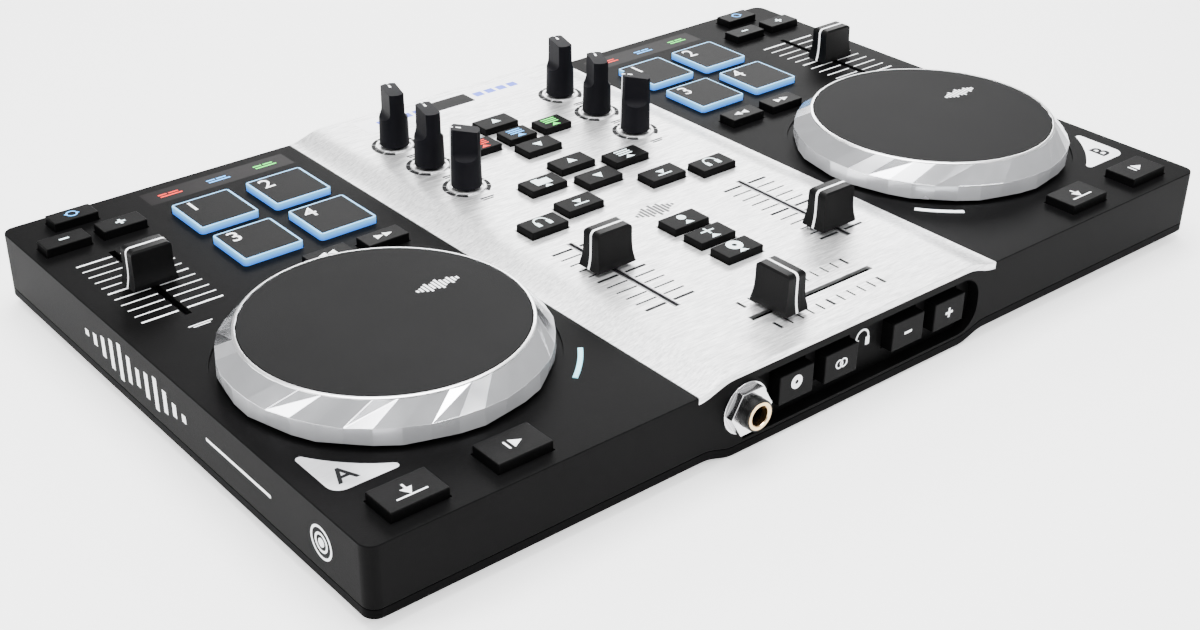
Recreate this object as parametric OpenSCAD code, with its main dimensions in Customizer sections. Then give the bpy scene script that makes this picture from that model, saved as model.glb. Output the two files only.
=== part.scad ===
// Two-deck DJ controller: jog wheels, performance pads, mixer section and front headphone panel.
// Millimetres, +Z up, +Y towards the back. The origin is the centre of the bounding box, at the feet.

/* [Case] */
// Width of the case
body_w = 338; // [334:1:352]
// Depth of the case, without the jack and the sockets
body_d = 212.6; // [211.6:0.2:226]
// Height of the deck surface above the underside of the case
side_h = 22.1; // [21:0.1:27]
// Radius of the upright corners
corner_r = 4; // [3:0.5:8]
// Thickness of the side walls
wall = 2.4; // [1.6:0.1:2.6]
// Thickness of the deck under its top surface
deck_t = 2.4; // [1.6:0.1:2.6]
// Height of the seam between the two shells
seam_h = 3; // [2.5:0.1:3.6]
// Drop of the belly under the mixer
belly_drop = 2.6; // [0:0.1:2.8]
// Height of the rubber feet
foot_h = 3.4; // [3.2:0.1:8]
// Radius of the rubber feet
foot_r = 6; // [4:0.5:8]

/* [Mixer plate] */
// Width of the metal plate
plate_w = 125; // [121:0.5:126]
// Width of its raised flat
plate_flat_w = 98; // [94:1:102]
// Rise of the flat above the decks
plate_rise = 2.9; // [2:0.1:4]
// Thickness of the sheet
plate_t = 1.2; // [0.8:0.1:1.5]
// Height of the folded lips at the front and back
lip_h = 2.3; // [1.6:0.1:3]
// Radius of the pressed collar round each knob
collar_r = 6.6; // [6.2:0.1:7]

/* [Jog wheels] */
// Distance of each wheel's axis from the centre line
wheel_x = 114.7; // [113.6:0.1:116]
// Place of the wheels' axes, front to back
wheel_y = -34.1; // [-36:0.1:-32]
// Radius of the metal ring at its foot
ring_r = 48; // [44:0.5:49]
// Width of the metal ring, outside the touch disc
rim_w = 6.9; // [6.5:0.1:12]
// Height of the wheel above the deck
wheel_h = 11.8; // [9:0.1:14]
// Number of grip facets round the ring
facets = 13; // [9:1:18]
// Radius of the spindle
spindle_r = 4; // [3:0.1:5]
// Running clearance between the spindle and its bush
spindle_gap = 0.06; // [0.03:0.01:0.09]

/* [Keys and pads] */
// Side of a performance pad
pad_w = 21; // [16:0.5:22.5]
// Gap between two pads
pad_spacing = 6.45; // [5.5:0.05:7]
// Height of the pads above the deck
pad_h = 2.15; // [1.5:0.05:3]
// Height of the deck keys above the deck
deck_key_h = 2.8; // [1.5:0.1:3.5]
// Height of the mixer keys above the plate
mix_key_h = 2.3; // [1.5:0.1:3]
// Clearance round every key and pad
key_gap = 0.35; // [0.3:0.05:0.5]
// Travel of a key
key_travel = 1; // [0.5:0.1:1.2]

/* [Knobs and faders] */
// Radius of a knob
knob_r = 5.2; // [4.2:0.1:5.4]
// Height of a knob above the plate
knob_h = 21.5; // [14:0.5:26]
// Thickness of a knob's grip
grip_t = 5.4; // [4.5:0.1:8]
// Radius of a potentiometer shaft
shaft_r = 3; // [2.5:0.1:3.2]
// Travel of a fader
fader_travel = 43.4; // [36:0.1:45]
// Width of a fader cap
cap_w = 15.5; // [12:0.5:17]
// Depth of a fader cap at its foot
cap_d = 9; // [7:0.5:10]
// Height of a fader cap
cap_h = 12.6; // [9:0.1:15]
// Gap between a cap and the surface it runs over
cap_gap = 1; // [0.6:0.1:2]
// Width of a fader slot
slot_w = 2.2; // [1.9:0.1:2.6]

/* [Front panel] */
// Depth of the recess for the front keys
pocket_depth = 4; // [3:0.1:4.4]
// Radius of the headphone socket's bore
jack_bore_r = 3.2; // [3.15:0.05:3.3]
// Radius of its threaded sleeve
jack_sleeve_r = 4.8; // [4.5:0.1:5]
// How far the sleeve stands out of the front
jack_out = 6.2; // [5:0.1:8]
// How far the line output sockets stand out of the back
phono_out = 4.2; // [3:0.1:6]

/* [Hidden] */
$fn = 64;
eps = 0.01;
decks = ["left", "right"];
knob_rows = ["treble", "mid", "bass"];
function side(deck) = deck == "left" ? -1 : 1;

// Levels
z_under = foot_h;
z_deck = z_under + side_h;
z_plate = z_deck + plate_rise;
z_ceiling = z_deck - deck_t;
z_mix_ceiling = z_plate - plate_t - deck_t;
z_board = z_under + 9.1;
board_t = 1.6;
z_board_top = z_board + board_t;
z_join = z_under + 6;
switch_h = 3.5;
disc_r = ring_r - rim_w;
pad_pitch = pad_w + pad_spacing;
front = -body_d / 2;
back = body_d / 2;
frame_shift = (jack_out - phono_out) / 2;

// Cross-section curves: an S-shaped flank between an inner flat and an outer edge
curve_steps = 8;
belly_flat = 48;
belly_edge = 60;
function ease(t) = (1 - cos(180 * min(1, max(0, t)))) / 2;
function swell(x, flat, edge) = 1 - ease((abs(x) - flat) / (edge - flat));
function flank(flat, edge) = concat(
    [for (i = [0 : curve_steps]) -edge + (edge - flat) * i / curve_steps],
    [for (i = [0 : curve_steps]) flat + (edge - flat) * i / curve_steps]);
function underside(up) = [for (x = concat([-body_w / 2], flank(belly_flat, belly_edge), [body_w / 2]))
    [x, z_under + up - belly_drop * swell(x, belly_flat, belly_edge)]];
function plate_line(down) = [for (x = flank(plate_flat_w / 2, plate_w / 2))
    [x, z_deck - down + plate_rise * swell(x, plate_flat_w / 2, plate_w / 2)]];
function deck_line(down, in_step) = concat(
    [[-body_w / 2, z_deck - down], [-plate_w / 2 - in_step, z_deck - down]],
    in_step > 0 ? [[-plate_w / 2 - in_step, z_deck - down - plate_t]] : [],
    plate_line(down + plate_t),
    in_step > 0 ? [[plate_w / 2 + in_step, z_deck - down - plate_t]] : [],
    [[plate_w / 2 + in_step, z_deck - down], [body_w / 2, z_deck - down]]);
function backwards(v) = [for (i = [len(v) - 1 : -1 : 0]) v[i]];

// Rounded outlines
function unit(v) = v / norm(v);
function corner(before, at, after, r, n = 5) =
    let (a = unit(before - at), b = unit(after - at), half = acos(a * b) / 2,
         c = at + unit(a + b) * r / sin(half), s = at + a * r / tan(half) - c,
         e = at + b * r / tan(half) - c, a0 = atan2(s.y, s.x),
         turn = (atan2(e.y, e.x) - a0 + 540) % 360 - 180)
    [for (i = [0 : n]) c + r * [cos(a0 + turn * i / n), sin(a0 + turn * i / n)]];

// Places of the keys on the right-hand deck: the left-hand deck mirrors them
pad_x = [wheel_x - 32.7, wheel_x - 32.7 + pad_pitch];
pad_y = [46.5 + pad_pitch, 46.5];
key_w = 15;
key_d = 7.7;
transport_w = 17.6;
transport_d = 11.4;
transport_y = front + 11.1;
inner_transport_x = 117;
outer_transport_x = 149.5;
skip_x = [78.3, 98.1];
skip_y = 22.7;
sync_place = [148, 98];
bend_places = [[138.3, 83], [157.5, 83]];
pitch_place = [147.6, 45.8];
pitch_rest = 44.6;

// Places on the mixer plate
mix_w = 14.6;
mix_d = 8.6;
mode_w = 11.8;
knob_x = 37;
knob_y = [77.1, 55.8, 34.5];
knob_turn = [[-12, -9, 51], [-10, -20, 51]];
volume_x = 36.3;
volume_front = -65.4;
volume_y = volume_front + fader_travel / 2;
volume_rest = [-37, -60];
cross_y = front + 18.65;
cross_rest = -14;
mode_places = [[-15.5, 55.3], [0, 55.3], [15.5, 55.3]];
page_places = [[0, 68], [0, 43.1]];
scroll_places = [[0, 25.1], [0, 10.6]];
browse_places = [[-18, 17.9], [18, 17.9]];
load_places = [[-18, -1], [18, -1]];
listen_y = volume_y + fader_travel / 2 + 16.4;
cue_listen_places = [[-36.5, listen_y], [36.5, listen_y]];
record_places = [[0, -31.5], [0, -43.6], [0, -55.7]];
mix_places = concat(page_places, scroll_places, browse_places, load_places, cue_listen_places,
    record_places);

// Places on the front and back panels
front_key_names = ["headphone_cue_key", "headphone_mix_key", "headphone_down_key", "headphone_up_key"];
front_key_x = [-24.2, -5.7, 23.2, 41.9];
front_key_w = 13.7;
front_key_h = 9.6;
front_key_z = z_under + 11.5;
front_travel = 0.8;
pocket_x = [-54, 55.5];
pocket_z = [z_under + 1.5, z_under + 20.3];
pocket_wall = 1.6;
pocket_mid = (pocket_x[0] + pocket_x[1]) / 2;
pocket_back = front + pocket_depth + pocket_wall;
jack_x = -45;
jack_z = z_under + 12.4;
jack_boss_r = 9;
jack_depth = 24;
usb_x = 30;
usb_size = [12, 16, 11];
usb_z = z_under + 10;
phono_x = [-39, -21];
phono_z = z_under + 11;
phono_r = 4.15;
phono_shoulder_r = 5;
phono_recess = 3.9;
phono_mid = (phono_x[0] + phono_x[1]) / 2;
phono_span = phono_x[1] - phono_x[0] + 22;

// Fixings
screw_r = 1.45;
screw_head_r = 2.75;
screw_length = 9.6;
post_r = 4.5;
boss_r = 3.5;
screw_places = [[131, back - 7.3], [body_w / 2 - wall - post_r - 0.3, 10], [133.2, front + 8.3],
    [64, front + 8.3], [54, back - 14.3]];
foot_places = [for (x = [body_w / 2 - 19, 72], y = [back - 20.3, front + 20.3]) [x, y]];
foot_sink = 0.8;
label_w = 64;
label_d = 36;
label_t = 0.3;

// Trim: windows, letter plates and the wells that the wheels turn in
window_t = 1;
letter_t = 0.6;
well_depth = 0.6;

// Potentiometers and the wheels' bushes
bush_r = 7;
pot_bush_r = 3.5;
pot_body = 11;
pot_h = 6.5;
slider_w = 7.5;

// ---- shared shapes ----

// Moves the case's own centre to its place between the front jack and the back sockets
module placed() translate([0, frame_shift, 0]) children();

module both_sides() for (s = [-1, 1]) scale([s, 1, 1]) children();

// A cross-section in X and Z, drawn out along Y
module along_y(points, y0, y1)
    translate([0, y1, 0]) rotate([90, 0, 0]) linear_extrude(y1 - y0) polygon(points);

module rounded_slab(w, d, r, z0, z1)
    translate([0, 0, z0]) linear_extrude(z1 - z0) rounded_outline(w, d, r);

module rounded_outline(w, d, r) {
    square([w - 2 * r, d], center = true);
    square([w, d - 2 * r], center = true);
    for (x = [-1, 1], y = [-1, 1]) translate([x * (w / 2 - r), y * (d / 2 - r)]) circle(r);
}

module box_at(x, y, w, d, z0, z1) translate([x - w / 2, y - d / 2, z0]) cube([w, d, z1 - z0]);

module post(p, r, z0, z1) translate([p.x, p.y, z0]) cylinder(r = r, h = z1 - z0);

module rod_y(x, z, r, y0, y1) translate([x, y0, z]) rotate([-90, 0, 0]) cylinder(r = r, h = y1 - y0);

// Every fixing place, on both sides
function mirrored(places) = [for (p = places, s = [-1, 1]) [s * p.x, p.y]];

// ---- case ----

module bottom_shell() placed() color([0.1, 0.1, 0.11]) difference() {
    union() {
        intersection() {
            rounded_slab(body_w, body_d, corner_r, 0, z_deck);
            along_y(concat(underside(0), backwards(underside(seam_h))), front, back);
        }
        locating_rim();
        for (p = mirrored(screw_places)) post(p, post_r, z_under + 1, z_join);
        for (p = board_rests()) post(p, 2.5, z_under + 0.3, z_board);
        for (x = [-30, 46]) box_at(x, front_board_y() + board_t / 2, 4, 5, z_under, z_under + 1);
    }
    for (p = mirrored(screw_places)) {
        post(p, screw_head_r + 0.25, -1, z_under + 2.4);
        post(p, screw_r + 0.15, z_under, z_join + 1);
    }
    for (p = mirrored(foot_places)) post(p, foot_r + 0.1, 0, z_under + foot_sink);
    box_at(0, 20, label_w, label_d, 0, z_under - belly_drop + label_t);
}

// Rim that stands up inside the top shell and locates it
module locating_rim() {
    fit = 0.2;
    rim_t = 1.2;
    rim_h = 2;
    out_w = body_w - 2 * (wall + fit);
    out_d = body_d - 2 * (wall + fit);
    difference() {
        intersection() {
            rounded_slab(out_w, out_d, corner_r - wall - fit, 0, z_deck);
            along_y(concat(underside(1), backwards(underside(seam_h + rim_h))), front, back);
        }
        rounded_slab(out_w - 2 * rim_t, out_d - 2 * rim_t, 0.1, -1, z_deck + 1);
        box_at(pocket_mid, front, pocket_x[1] - pocket_x[0] + 8, 2 * (pocket_depth + pocket_wall) + 3,
            z_under + seam_h - belly_drop, z_deck);
        box_at(phono_mid, back, phono_span + 7, 2 * (wall + phono_recess) + 3, z_under + seam_h - belly_drop,
            z_deck);
    }
}

function board_rests() = mirrored([[74, 20], [74, -70], [155, 70], [155, -78], [50, 70], [50, -66]]);

module top_shell() placed() color([0.2, 0.2, 0.21]) difference() {
    union() {
        difference() {
            intersection() {
                rounded_slab(body_w, body_d, corner_r, 0, z_plate);
                along_y(concat(underside(seam_h), backwards(deck_line(0, 0))), front, back);
            }
            intersection() {
                rounded_slab(body_w - 2 * wall, body_d - 2 * wall, corner_r - wall, 0, z_plate);
                along_y(concat(underside(0), backwards(deck_line(deck_t, deck_t))), front, back);
            }
        }
        for (p = mirrored(screw_places)) post(p, boss_r, z_join, z_ceiling + 1);
        pocket_backing();
        phono_backing();
    }
    for (p = mirrored(screw_places)) post(p, screw_r, z_join - 1, z_under + 2.4 + screw_length);
    deck_openings();
    mixer_openings(z_mix_ceiling - 6, z_plate + 1);
    for (s = [-1, 1]) lip_rebate(s);
    front_pocket();
    back_openings();
}

// Groove that takes the plate's folded lip
module lip_rebate(s) {
    y = s * body_d / 2;
    along_y(concat(plate_line(lip_h), backwards(plate_line(-1))), min(y, y - s * plate_t),
        max(y, y - s * plate_t));
}

module deck_openings() {
    translate([0, 0, z_ceiling - 1]) linear_extrude(deck_t + 2) both_sides() {
        for (x = pad_x, y = pad_y) translate([x, y])
            rounded_outline(pad_w + 2 * key_gap, pad_w + 2 * key_gap, 1.5);
        for (x = [inner_transport_x, outer_transport_x])
            key_outline([x, transport_y], transport_w, transport_d);
        for (x = skip_x) key_outline([x, skip_y], key_w, key_d);
        for (p = concat([sync_place], bend_places)) key_outline(p, key_w, key_d);
        translate(pitch_place) square([slot_w, fader_travel + 7], center = true);
        translate([wheel_x, wheel_y]) circle(bush_r + 0.05);
    }
    both_sides() {
        post([wheel_x, wheel_y], ring_r + 1.6, z_deck - well_depth, z_deck + 1);
        translate([0, 0, z_deck - window_t]) linear_extrude(window_t + 1) mode_window_outline();
        translate([0, 0, z_deck - letter_t]) linear_extrude(letter_t + 1) letter_plate_outline();
        beat_light_shape(z_deck - window_t, z_deck + 1);
    }
}

module key_outline(p, w, d) translate(p) square([w + 2 * key_gap, d + 2 * key_gap], center = true);

module mixer_openings(z0, z1) {
    translate([0, 0, z0]) linear_extrude(z1 - z0) {
        for (p = mix_places) key_outline(p, mix_w, mix_d);
        for (p = mode_places) key_outline(p, mode_w, mix_d);
        for (x = [-volume_x, volume_x]) translate([x, volume_y])
            square([slot_w, fader_travel + 7], center = true);
        translate([0, cross_y]) square([fader_travel + 7, slot_w], center = true);
        for (x = [-knob_x, knob_x], y = knob_y) translate([x, y]) circle(pot_bush_r + 0.2);
    }
    translate([0, 0, z_plate - plate_t - window_t]) linear_extrude(z1 - z_plate + plate_t + window_t)
        display_outline();
}

// Everything of the top shell stays above the seam
module above_seam() intersection() {
    along_y(concat(underside(seam_h), backwards(deck_line(0, 0))), front, back);
    children();
}

module pocket_backing() above_seam() {
    y0 = front + wall / 2;
    box_at(pocket_mid, (y0 + pocket_back) / 2, pocket_x[1] - pocket_x[0] + 2 * pocket_wall, pocket_back - y0,
        pocket_z[0] - pocket_wall + 1, z_mix_ceiling + eps);
}

module pocket_outline() {
    r = 8;
    translate([pocket_x[0], pocket_z[0]]) square([pocket_x[1] - pocket_x[0] - r, pocket_z[1] - pocket_z[0]]);
    translate([pocket_x[0], pocket_z[0] + r])
        square([pocket_x[1] - pocket_x[0], pocket_z[1] - pocket_z[0] - 2 * r]);
    for (z = [pocket_z[0] + r, pocket_z[1] - r]) translate([pocket_x[1] - r, z]) circle(r);
}

module front_pocket() {
    difference() {
        translate([0, front + pocket_depth, 0]) rotate([90, 0, 0]) linear_extrude(pocket_depth + 1)
            pocket_outline();
        rod_y(jack_x, jack_z, jack_boss_r, front, pocket_back);
        box_at(pocket_x[0], front, 2 * (jack_x - pocket_x[0]), 2 * pocket_depth, 0, z_plate);
    }
    rod_y(jack_x, jack_z, jack_sleeve_r + 0.1, front - 1, pocket_back + 1);
    for (x = front_key_x) translate([x - front_key_w / 2 - key_gap, front, front_key_z - front_key_h / 2 - key_gap])
        cube([front_key_w + 2 * key_gap, pocket_back - front + 1, front_key_h + 2 * key_gap]);
}

module phono_backing() above_seam() {
    y0 = back - wall - phono_recess;
    y1 = back - wall / 2;
    box_at(phono_mid, (y0 + y1) / 2, phono_span + 4, y1 - y0, phono_z - 9.5, phono_z + 9.5);
}

module back_openings() {
    box_at(phono_mid, back, phono_span, 2 * phono_recess, phono_z - 7.5, phono_z + 7.5);
    for (x = phono_x) rod_y(x, phono_z, phono_shoulder_r + 0.1, back - wall - phono_recess - 1, back + 1);
    box_at(usb_x, back, usb_size.x, 2 * wall + 2, usb_z - usb_size.z / 2, usb_z + usb_size.z / 2);
    box_at(70, back, 7, 2 * wall + 2, usb_z - 1.5, usb_z + 1.5);
}

module mixer_plate() placed() color([0.82, 0.83, 0.84]) difference() {
    union() {
        intersection() {
            union() {
                along_y(concat(plate_line(plate_t), backwards(plate_line(0))), front, back);
                for (s = [-1, 1]) along_y(concat(plate_line(lip_h), backwards(plate_line(0))),
                    min(s * back, s * (back - plate_t)), max(s * back, s * (back - plate_t)));
            }
            box_at(0, 0, plate_w - 0.3, body_d, z_under, z_plate + 1);
        }
        for (x = [-knob_x, knob_x], y = knob_y) post([x, y], collar_r, z_plate - plate_t / 2, z_plate + 0.5);
    }
    mixer_openings(z_plate - plate_t - 1, z_plate + 1);
    for (x = [-knob_x, knob_x], y = knob_y) post([x, y], collar_r - 1, z_plate, z_plate + 1);
}

// ---- trim ----

module mode_window_outline() translate([68.5, 92.3]) square([54.3, 9.5]);

module display_outline() {
    translate([-9.4, 92.2]) square([18.8, 8.2]);
    for (s = [-1, 1], i = [0 : 3]) translate([s * (13.6 + 5.2 * i), 96.5]) square([4, 3.8], center = true);
}

module letter_plate_outline() {
    x0 = wheel_x + 24.7;
    x1 = wheel_x + 47.9;
    y0 = wheel_y - 48.3;
    y1 = wheel_y - 25.4;
    c = [wheel_x, wheel_y];
    arc_r = norm([x1, y1] - c);
    a0 = atan2(y1 - c.y, x1 - c.x);
    a1 = atan2(y0 - c.y, x0 - c.x);
    arc = [for (i = [1 : 9]) c + arc_r * [cos(a0 + (a1 - a0) * i / 10), sin(a0 + (a1 - a0) * i / 10)]];
    polygon(concat(
        corner([x1, y0], [x1, y1], arc[0], 1.2), arc, corner(arc[8], [x0, y0], [x1, y0], 1.2),
        corner([x0, y0], [x1, y0], [x1, y1], 4)));
}

// Arc bar beside the wheel's inner front edge
module beat_light_shape(z0, z1) translate([wheel_x, wheel_y, z0]) rotate([0, 0, 216])
    rotate_extrude(angle = 17) translate([ring_r + 5.5, 0]) square([1.6, z1 - z0]);

module deck_letter_plates() placed() color([0.8, 0.8, 0.82]) both_sides()
    translate([0, 0, z_deck - letter_t]) linear_extrude(letter_t) letter_plate_outline();

module beat_lights() placed() color([0.75, 0.97, 1]) both_sides()
    beat_light_shape(z_deck - window_t, z_deck + 0.3);

module light_windows() placed() color([0.25, 0.2, 0.22]) {
    both_sides() translate([0, 0, z_deck - window_t]) linear_extrude(window_t) mode_window_outline();
    translate([0, 0, z_plate - plate_t - window_t]) linear_extrude(plate_t + window_t) display_outline();
}

module rubber_feet() placed() color([0.05, 0.05, 0.05])
    for (p = mirrored(foot_places)) post(p, foot_r, 0, z_under + foot_sink);

module case_screws() placed() color([0.35, 0.35, 0.37]) for (p = mirrored(screw_places)) difference() {
    union() {
        post(p, screw_head_r, z_under + 0.6, z_under + 2.4);
        post(p, screw_r, z_under + 2.3, z_under + 2.4 + screw_length);
    }
    for (a = [0, 90]) translate([p.x, p.y, z_under + 0.9]) rotate([0, 0, a]) cube([3.4, 0.7, 1], center = true);
}

// ---- inside ----

module circuit_boards() placed() color([0.08, 0.32, 0.18]) {
    difference() {
        union() {
            both_sides() board(66, body_w / 2 - 9, front + 6.3, back - 5.3);
            board(-58, 58, front + 14.3, back - 18.3);
        }
        for (p = mirrored(screw_places)) post(p, post_r + 0.7, z_board - 1, z_board_top + 1);
        both_sides() post([wheel_x, wheel_y], bush_r + 3, z_board - 1, z_board_top + 1);
        box_at(jack_x, front, 20, 2 * (pocket_depth + pocket_wall + jack_depth + 2), z_board - 1,
            z_board_top + 1);
    }
    for (p = mirrored(concat([sync_place], bend_places, [for (x = skip_x) [x, skip_y]],
        [for (x = [inner_transport_x, outer_transport_x]) [x, transport_y]])))
        tact_switch(p);
    for (p = mirrored([for (x = pad_x, y = pad_y) [x, y]])) tact_switch(p);
    for (p = concat(mix_places, mode_places)) tact_switch(p);
    box_at(0, -24, 10, 10, z_board - 1.4, z_board);
    front_board();
}

module board(x0, x1, y0, y1) translate([x0, y0, z_board]) cube([x1 - x0, y1 - y0, board_t]);

module tact_switch(p) box_at(p.x, p.y, 6, 6, z_board_top, z_board_top + switch_h);

function front_board_y() = pocket_back + 5.5;

module front_board() {
    box_at(7.75, front_board_y() + board_t / 2, 85.5, board_t, z_under + 1, z_under + 19);
    for (x = front_key_x) translate([x - 3, front_board_y() - 2.5, front_key_z - 3]) cube([6, 2.5, 6]);
}

module rotary_potentiometers() placed() color([0.45, 0.47, 0.5])
    for (x = [-knob_x, knob_x], y = knob_y) difference() {
        union() {
            box_at(x, y, pot_body, pot_body, z_board_top, z_board_top + pot_h);
            post([x, y], pot_bush_r, z_board_top + pot_h - 1, z_plate);
        }
        post([x, y], shaft_r + 0.08, z_board_top + 1.5, z_plate + 1);
    }

module slider_body(long, w, z0) difference() {
    translate([-long / 2, -w / 2, z0]) cube([long, w, pot_h]);
    translate([-long / 2 + 4.5, -1, z0 + 1.5]) cube([long - 9, 2, pot_h]);
}

module slide_potentiometers() placed() color([0.55, 0.56, 0.58]) {
    long = fader_travel + 17;
    for (x = [-volume_x, volume_x]) translate([x, volume_y, 0]) rotate([0, 0, 90])
        slider_body(long, slider_w, z_board_top);
    for (s = [-1, 1]) translate([s * pitch_place.x, pitch_place.y, 0]) rotate([0, 0, 90])
        slider_body(long, slider_w, z_board_top);
    translate([0, cross_y, 0]) slider_body(long, slider_w, z_board_top);
}

module wheel_bearings() placed() color([0.85, 0.83, 0.75]) both_sides() difference() {
    union() {
        post([wheel_x, wheel_y], bush_r + 4, z_deck - well_depth, z_deck + 0.6);
        post([wheel_x, wheel_y], bush_r, z_under + 12, z_deck);
    }
    post([wheel_x, wheel_y], spindle_r + spindle_gap, z_under + 11, z_deck + 1);
}

// ---- sockets ----

module headphone_socket() placed() color([0.1, 0.1, 0.1]) difference() {
    union() {
        rod_y(jack_x, jack_z, jack_sleeve_r, front - jack_out, pocket_back + 1);
        box_at(jack_x, pocket_back + jack_depth / 2, 14, jack_depth, jack_z - 6.5, jack_z + 6.5);
    }
    rod_y(jack_x, jack_z, jack_bore_r, front - jack_out - 1, pocket_back + jack_depth - 2);
}

module socket_nut_washer() placed() color([0.75, 0.75, 0.77]) {
    washer_t = 0.8;
    nut_t = 2.5;
    difference() {
        rod_y(jack_x, jack_z, 8.2, front - washer_t, front);
        rod_y(jack_x, jack_z, jack_sleeve_r, front - 2, front + 1);
    }
    difference() {
        translate([jack_x, front - washer_t - nut_t, jack_z]) rotate([-90, 0, 0])
            cylinder(r = 7.8, h = nut_t, $fn = 6);
        rod_y(jack_x, jack_z, jack_sleeve_r, front - 5, front + 1);
    }
}

module usb_socket() placed() color([0.7, 0.7, 0.72]) difference() {
    box_at(usb_x, back - usb_size.y / 2, usb_size.x, usb_size.y, usb_z - usb_size.z / 2, usb_z + usb_size.z / 2);
    difference() {
        box_at(usb_x, back - 4.5, 8.5, 11, usb_z - 3.9, usb_z + 3.9);
        box_at(usb_x, back - 6, 5.6, 10, usb_z - 1.6, usb_z + 1.6);
    }
}

module line_output_sockets() placed() color([0.85, 0.85, 0.85]) {
    seat = back - wall - phono_recess;
    for (x = phono_x) difference() {
        union() {
            rod_y(x, phono_z, phono_shoulder_r, seat - 1, back - phono_recess);
            rod_y(x, phono_z, phono_r, back - phono_recess - 1, back + phono_out);
            box_at(x, seat - 6, 12, 12, phono_z - 7, phono_z + 7);
        }
        rod_y(x, phono_z, 1.6, seat - 4, back + phono_out + 1);
    }
}

// ---- jog wheels ----

module wheel_ring(deck) placed() color([0.85, 0.87, 0.9])
    translate([side(deck) * wheel_x, wheel_y, z_deck]) difference() {
        ledge = wheel_h - 3;
        rotate_extrude() polygon([
            [disc_r - 4, ledge - 1.5], [disc_r - 4, ledge], [disc_r + 0.15, ledge], [disc_r + 0.15, wheel_h],
            [disc_r + 0.9, wheel_h], [ring_r - 0.5, wheel_h / 2], [ring_r, 0.5], [ring_r - 2.5, 0.5],
            [ring_r - 2.5, wheel_h / 2 - 0.6], [disc_r, ledge - 1.5]]);
        for (i = [0 : facets - 1]) rotate([0, 0, i * 360 / facets + 9]) translate([ring_r, 0, wheel_h / 4])
            rotate([30, 0, 0]) cube([1, 0.7, wheel_h / 2], center = true);
    }

module wheel_disc(deck) placed() color([0.22, 0.22, 0.23])
    translate([side(deck) * wheel_x, wheel_y, z_deck]) rotate_extrude() polygon([
        [0, wheel_h], [disc_r, wheel_h], [disc_r, wheel_h - 3], [10, wheel_h - 3], [10, 1.6],
        [spindle_r, 1.6], [spindle_r, z_under + 11.8 - z_deck], [spindle_r + 2, z_under + 11.8 - z_deck],
        [spindle_r + 2, z_under + 11 - z_deck], [0, z_under + 11 - z_deck]]);

// ---- knobs and faders ----

module mixer_knob(deck, row) placed() color([0.09, 0.09, 0.11])
    translate([side(deck) * knob_x, knob_y[row], z_plate]) rotate([0, 0, knob_turn[deck == "left" ? 0 : 1][row]]) {
        difference() {
            translate([0, 0, cap_gap]) cylinder(r1 = knob_r, r2 = knob_r - 0.4, h = knob_h - cap_gap);
            for (s = [-1, 1]) knob_scoop(s);
            translate([0, -knob_r - 1, knob_h]) rotate([7, 0, 0]) translate([-knob_r - 1, -1, -1.2])
                cube([2 * knob_r + 2, 2 * knob_r + 4, 4]);
        }
        translate([0, 0, z_board_top + 2 - z_plate]) cylinder(r = shaft_r, h = z_plate - z_board_top);
    }

// Finger scoop that leaves the upper half as a flat grip
module knob_scoop(s) {
    run_out = 3;
    foot = knob_h / 2;
    scale([s, 1, 1]) {
        translate([grip_t / 2, -knob_r - 1, foot + run_out]) cube([knob_r, 2 * knob_r + 2, knob_h]);
        translate([grip_t / 2 + run_out, 0, foot + run_out]) rotate([90, 0, 0])
            cylinder(r = run_out, h = 2 * knob_r + 2, center = true);
    }
}

// Cap and lever of a fader, running along Y, with its foot at the given height
module fader(z) {
    top_d = 3.5;
    lean = 1.1;
    scoop = [for (i = [0 : 6]) let (t = i / 6)
        [top_d + (cap_d / 2 - top_d) * pow(1 - t, 3), cap_gap + 1.4 + (cap_h - 2) * t]];
    half = concat([[cap_d / 2, cap_gap]], scoop, [[top_d - 0.5, cap_gap + cap_h]]);
    top = cap_gap + cap_h;
    flare = concat([for (i = [0 : 5]) let (t = i / 5)
        [cap_w / 2 - lean * (1 - pow(1 - t, 2)), top * 0.5 * t]],
        corner([cap_w / 2 - lean, 0], [cap_w / 2 - lean, top], [0, top], 1.5));
    translate([0, 0, z]) intersection() {
        rotate([90, 0, 90]) translate([0, 0, -cap_w / 2]) linear_extrude(cap_w)
            polygon(concat(half, backwards([for (p = half) [-p.x, p.y]])));
        rotate([90, 0, 0]) translate([0, 0, -cap_d]) linear_extrude(2 * cap_d)
            polygon(concat(flare, backwards([for (p = flare) [-p.x, p.y]])));
    }
    box_at(0, 0, 1.2, 4, z_board_top + 2, z + cap_gap + 1);
}

module volume_fader(deck) placed() color([0.09, 0.09, 0.1])
    translate([side(deck) * volume_x, volume_rest[deck == "left" ? 0 : 1], 0]) fader(z_plate);

module pitch_fader(deck) placed() color([0.09, 0.09, 0.1])
    translate([side(deck) * pitch_place.x, pitch_rest, 0]) fader(z_deck);

module crossfader() placed() color([0.09, 0.09, 0.1])
    translate([cross_rest, cross_y, 0]) rotate([0, 0, 90]) fader(z_plate);

// ---- keys ----

// A key with its retaining flange and plunger, in a hole whose ceiling is at z_in
module key_shape(p, w, d, z_in, z_top, r = 0) {
    flange = 1.2;
    z_flange = z_in - 0.3 - flange;
    if (r > 0) translate([p.x, p.y, 0]) rounded_slab(w, d, r, z_flange, z_top);
    else box_at(p.x, p.y, w, d, z_flange, z_top);
    box_at(p.x, p.y, w + 2 * flange, d + 2 * flange, z_flange, z_flange + flange);
    box_at(p.x, p.y, 3, 3, z_board_top + switch_h + key_travel + 0.1, z_flange + eps);
}

module deck_key(deck, p, w = key_w, d = key_d)
    key_shape([side(deck) * p.x, p.y], w, d, z_ceiling, z_deck + deck_key_h);

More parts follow.
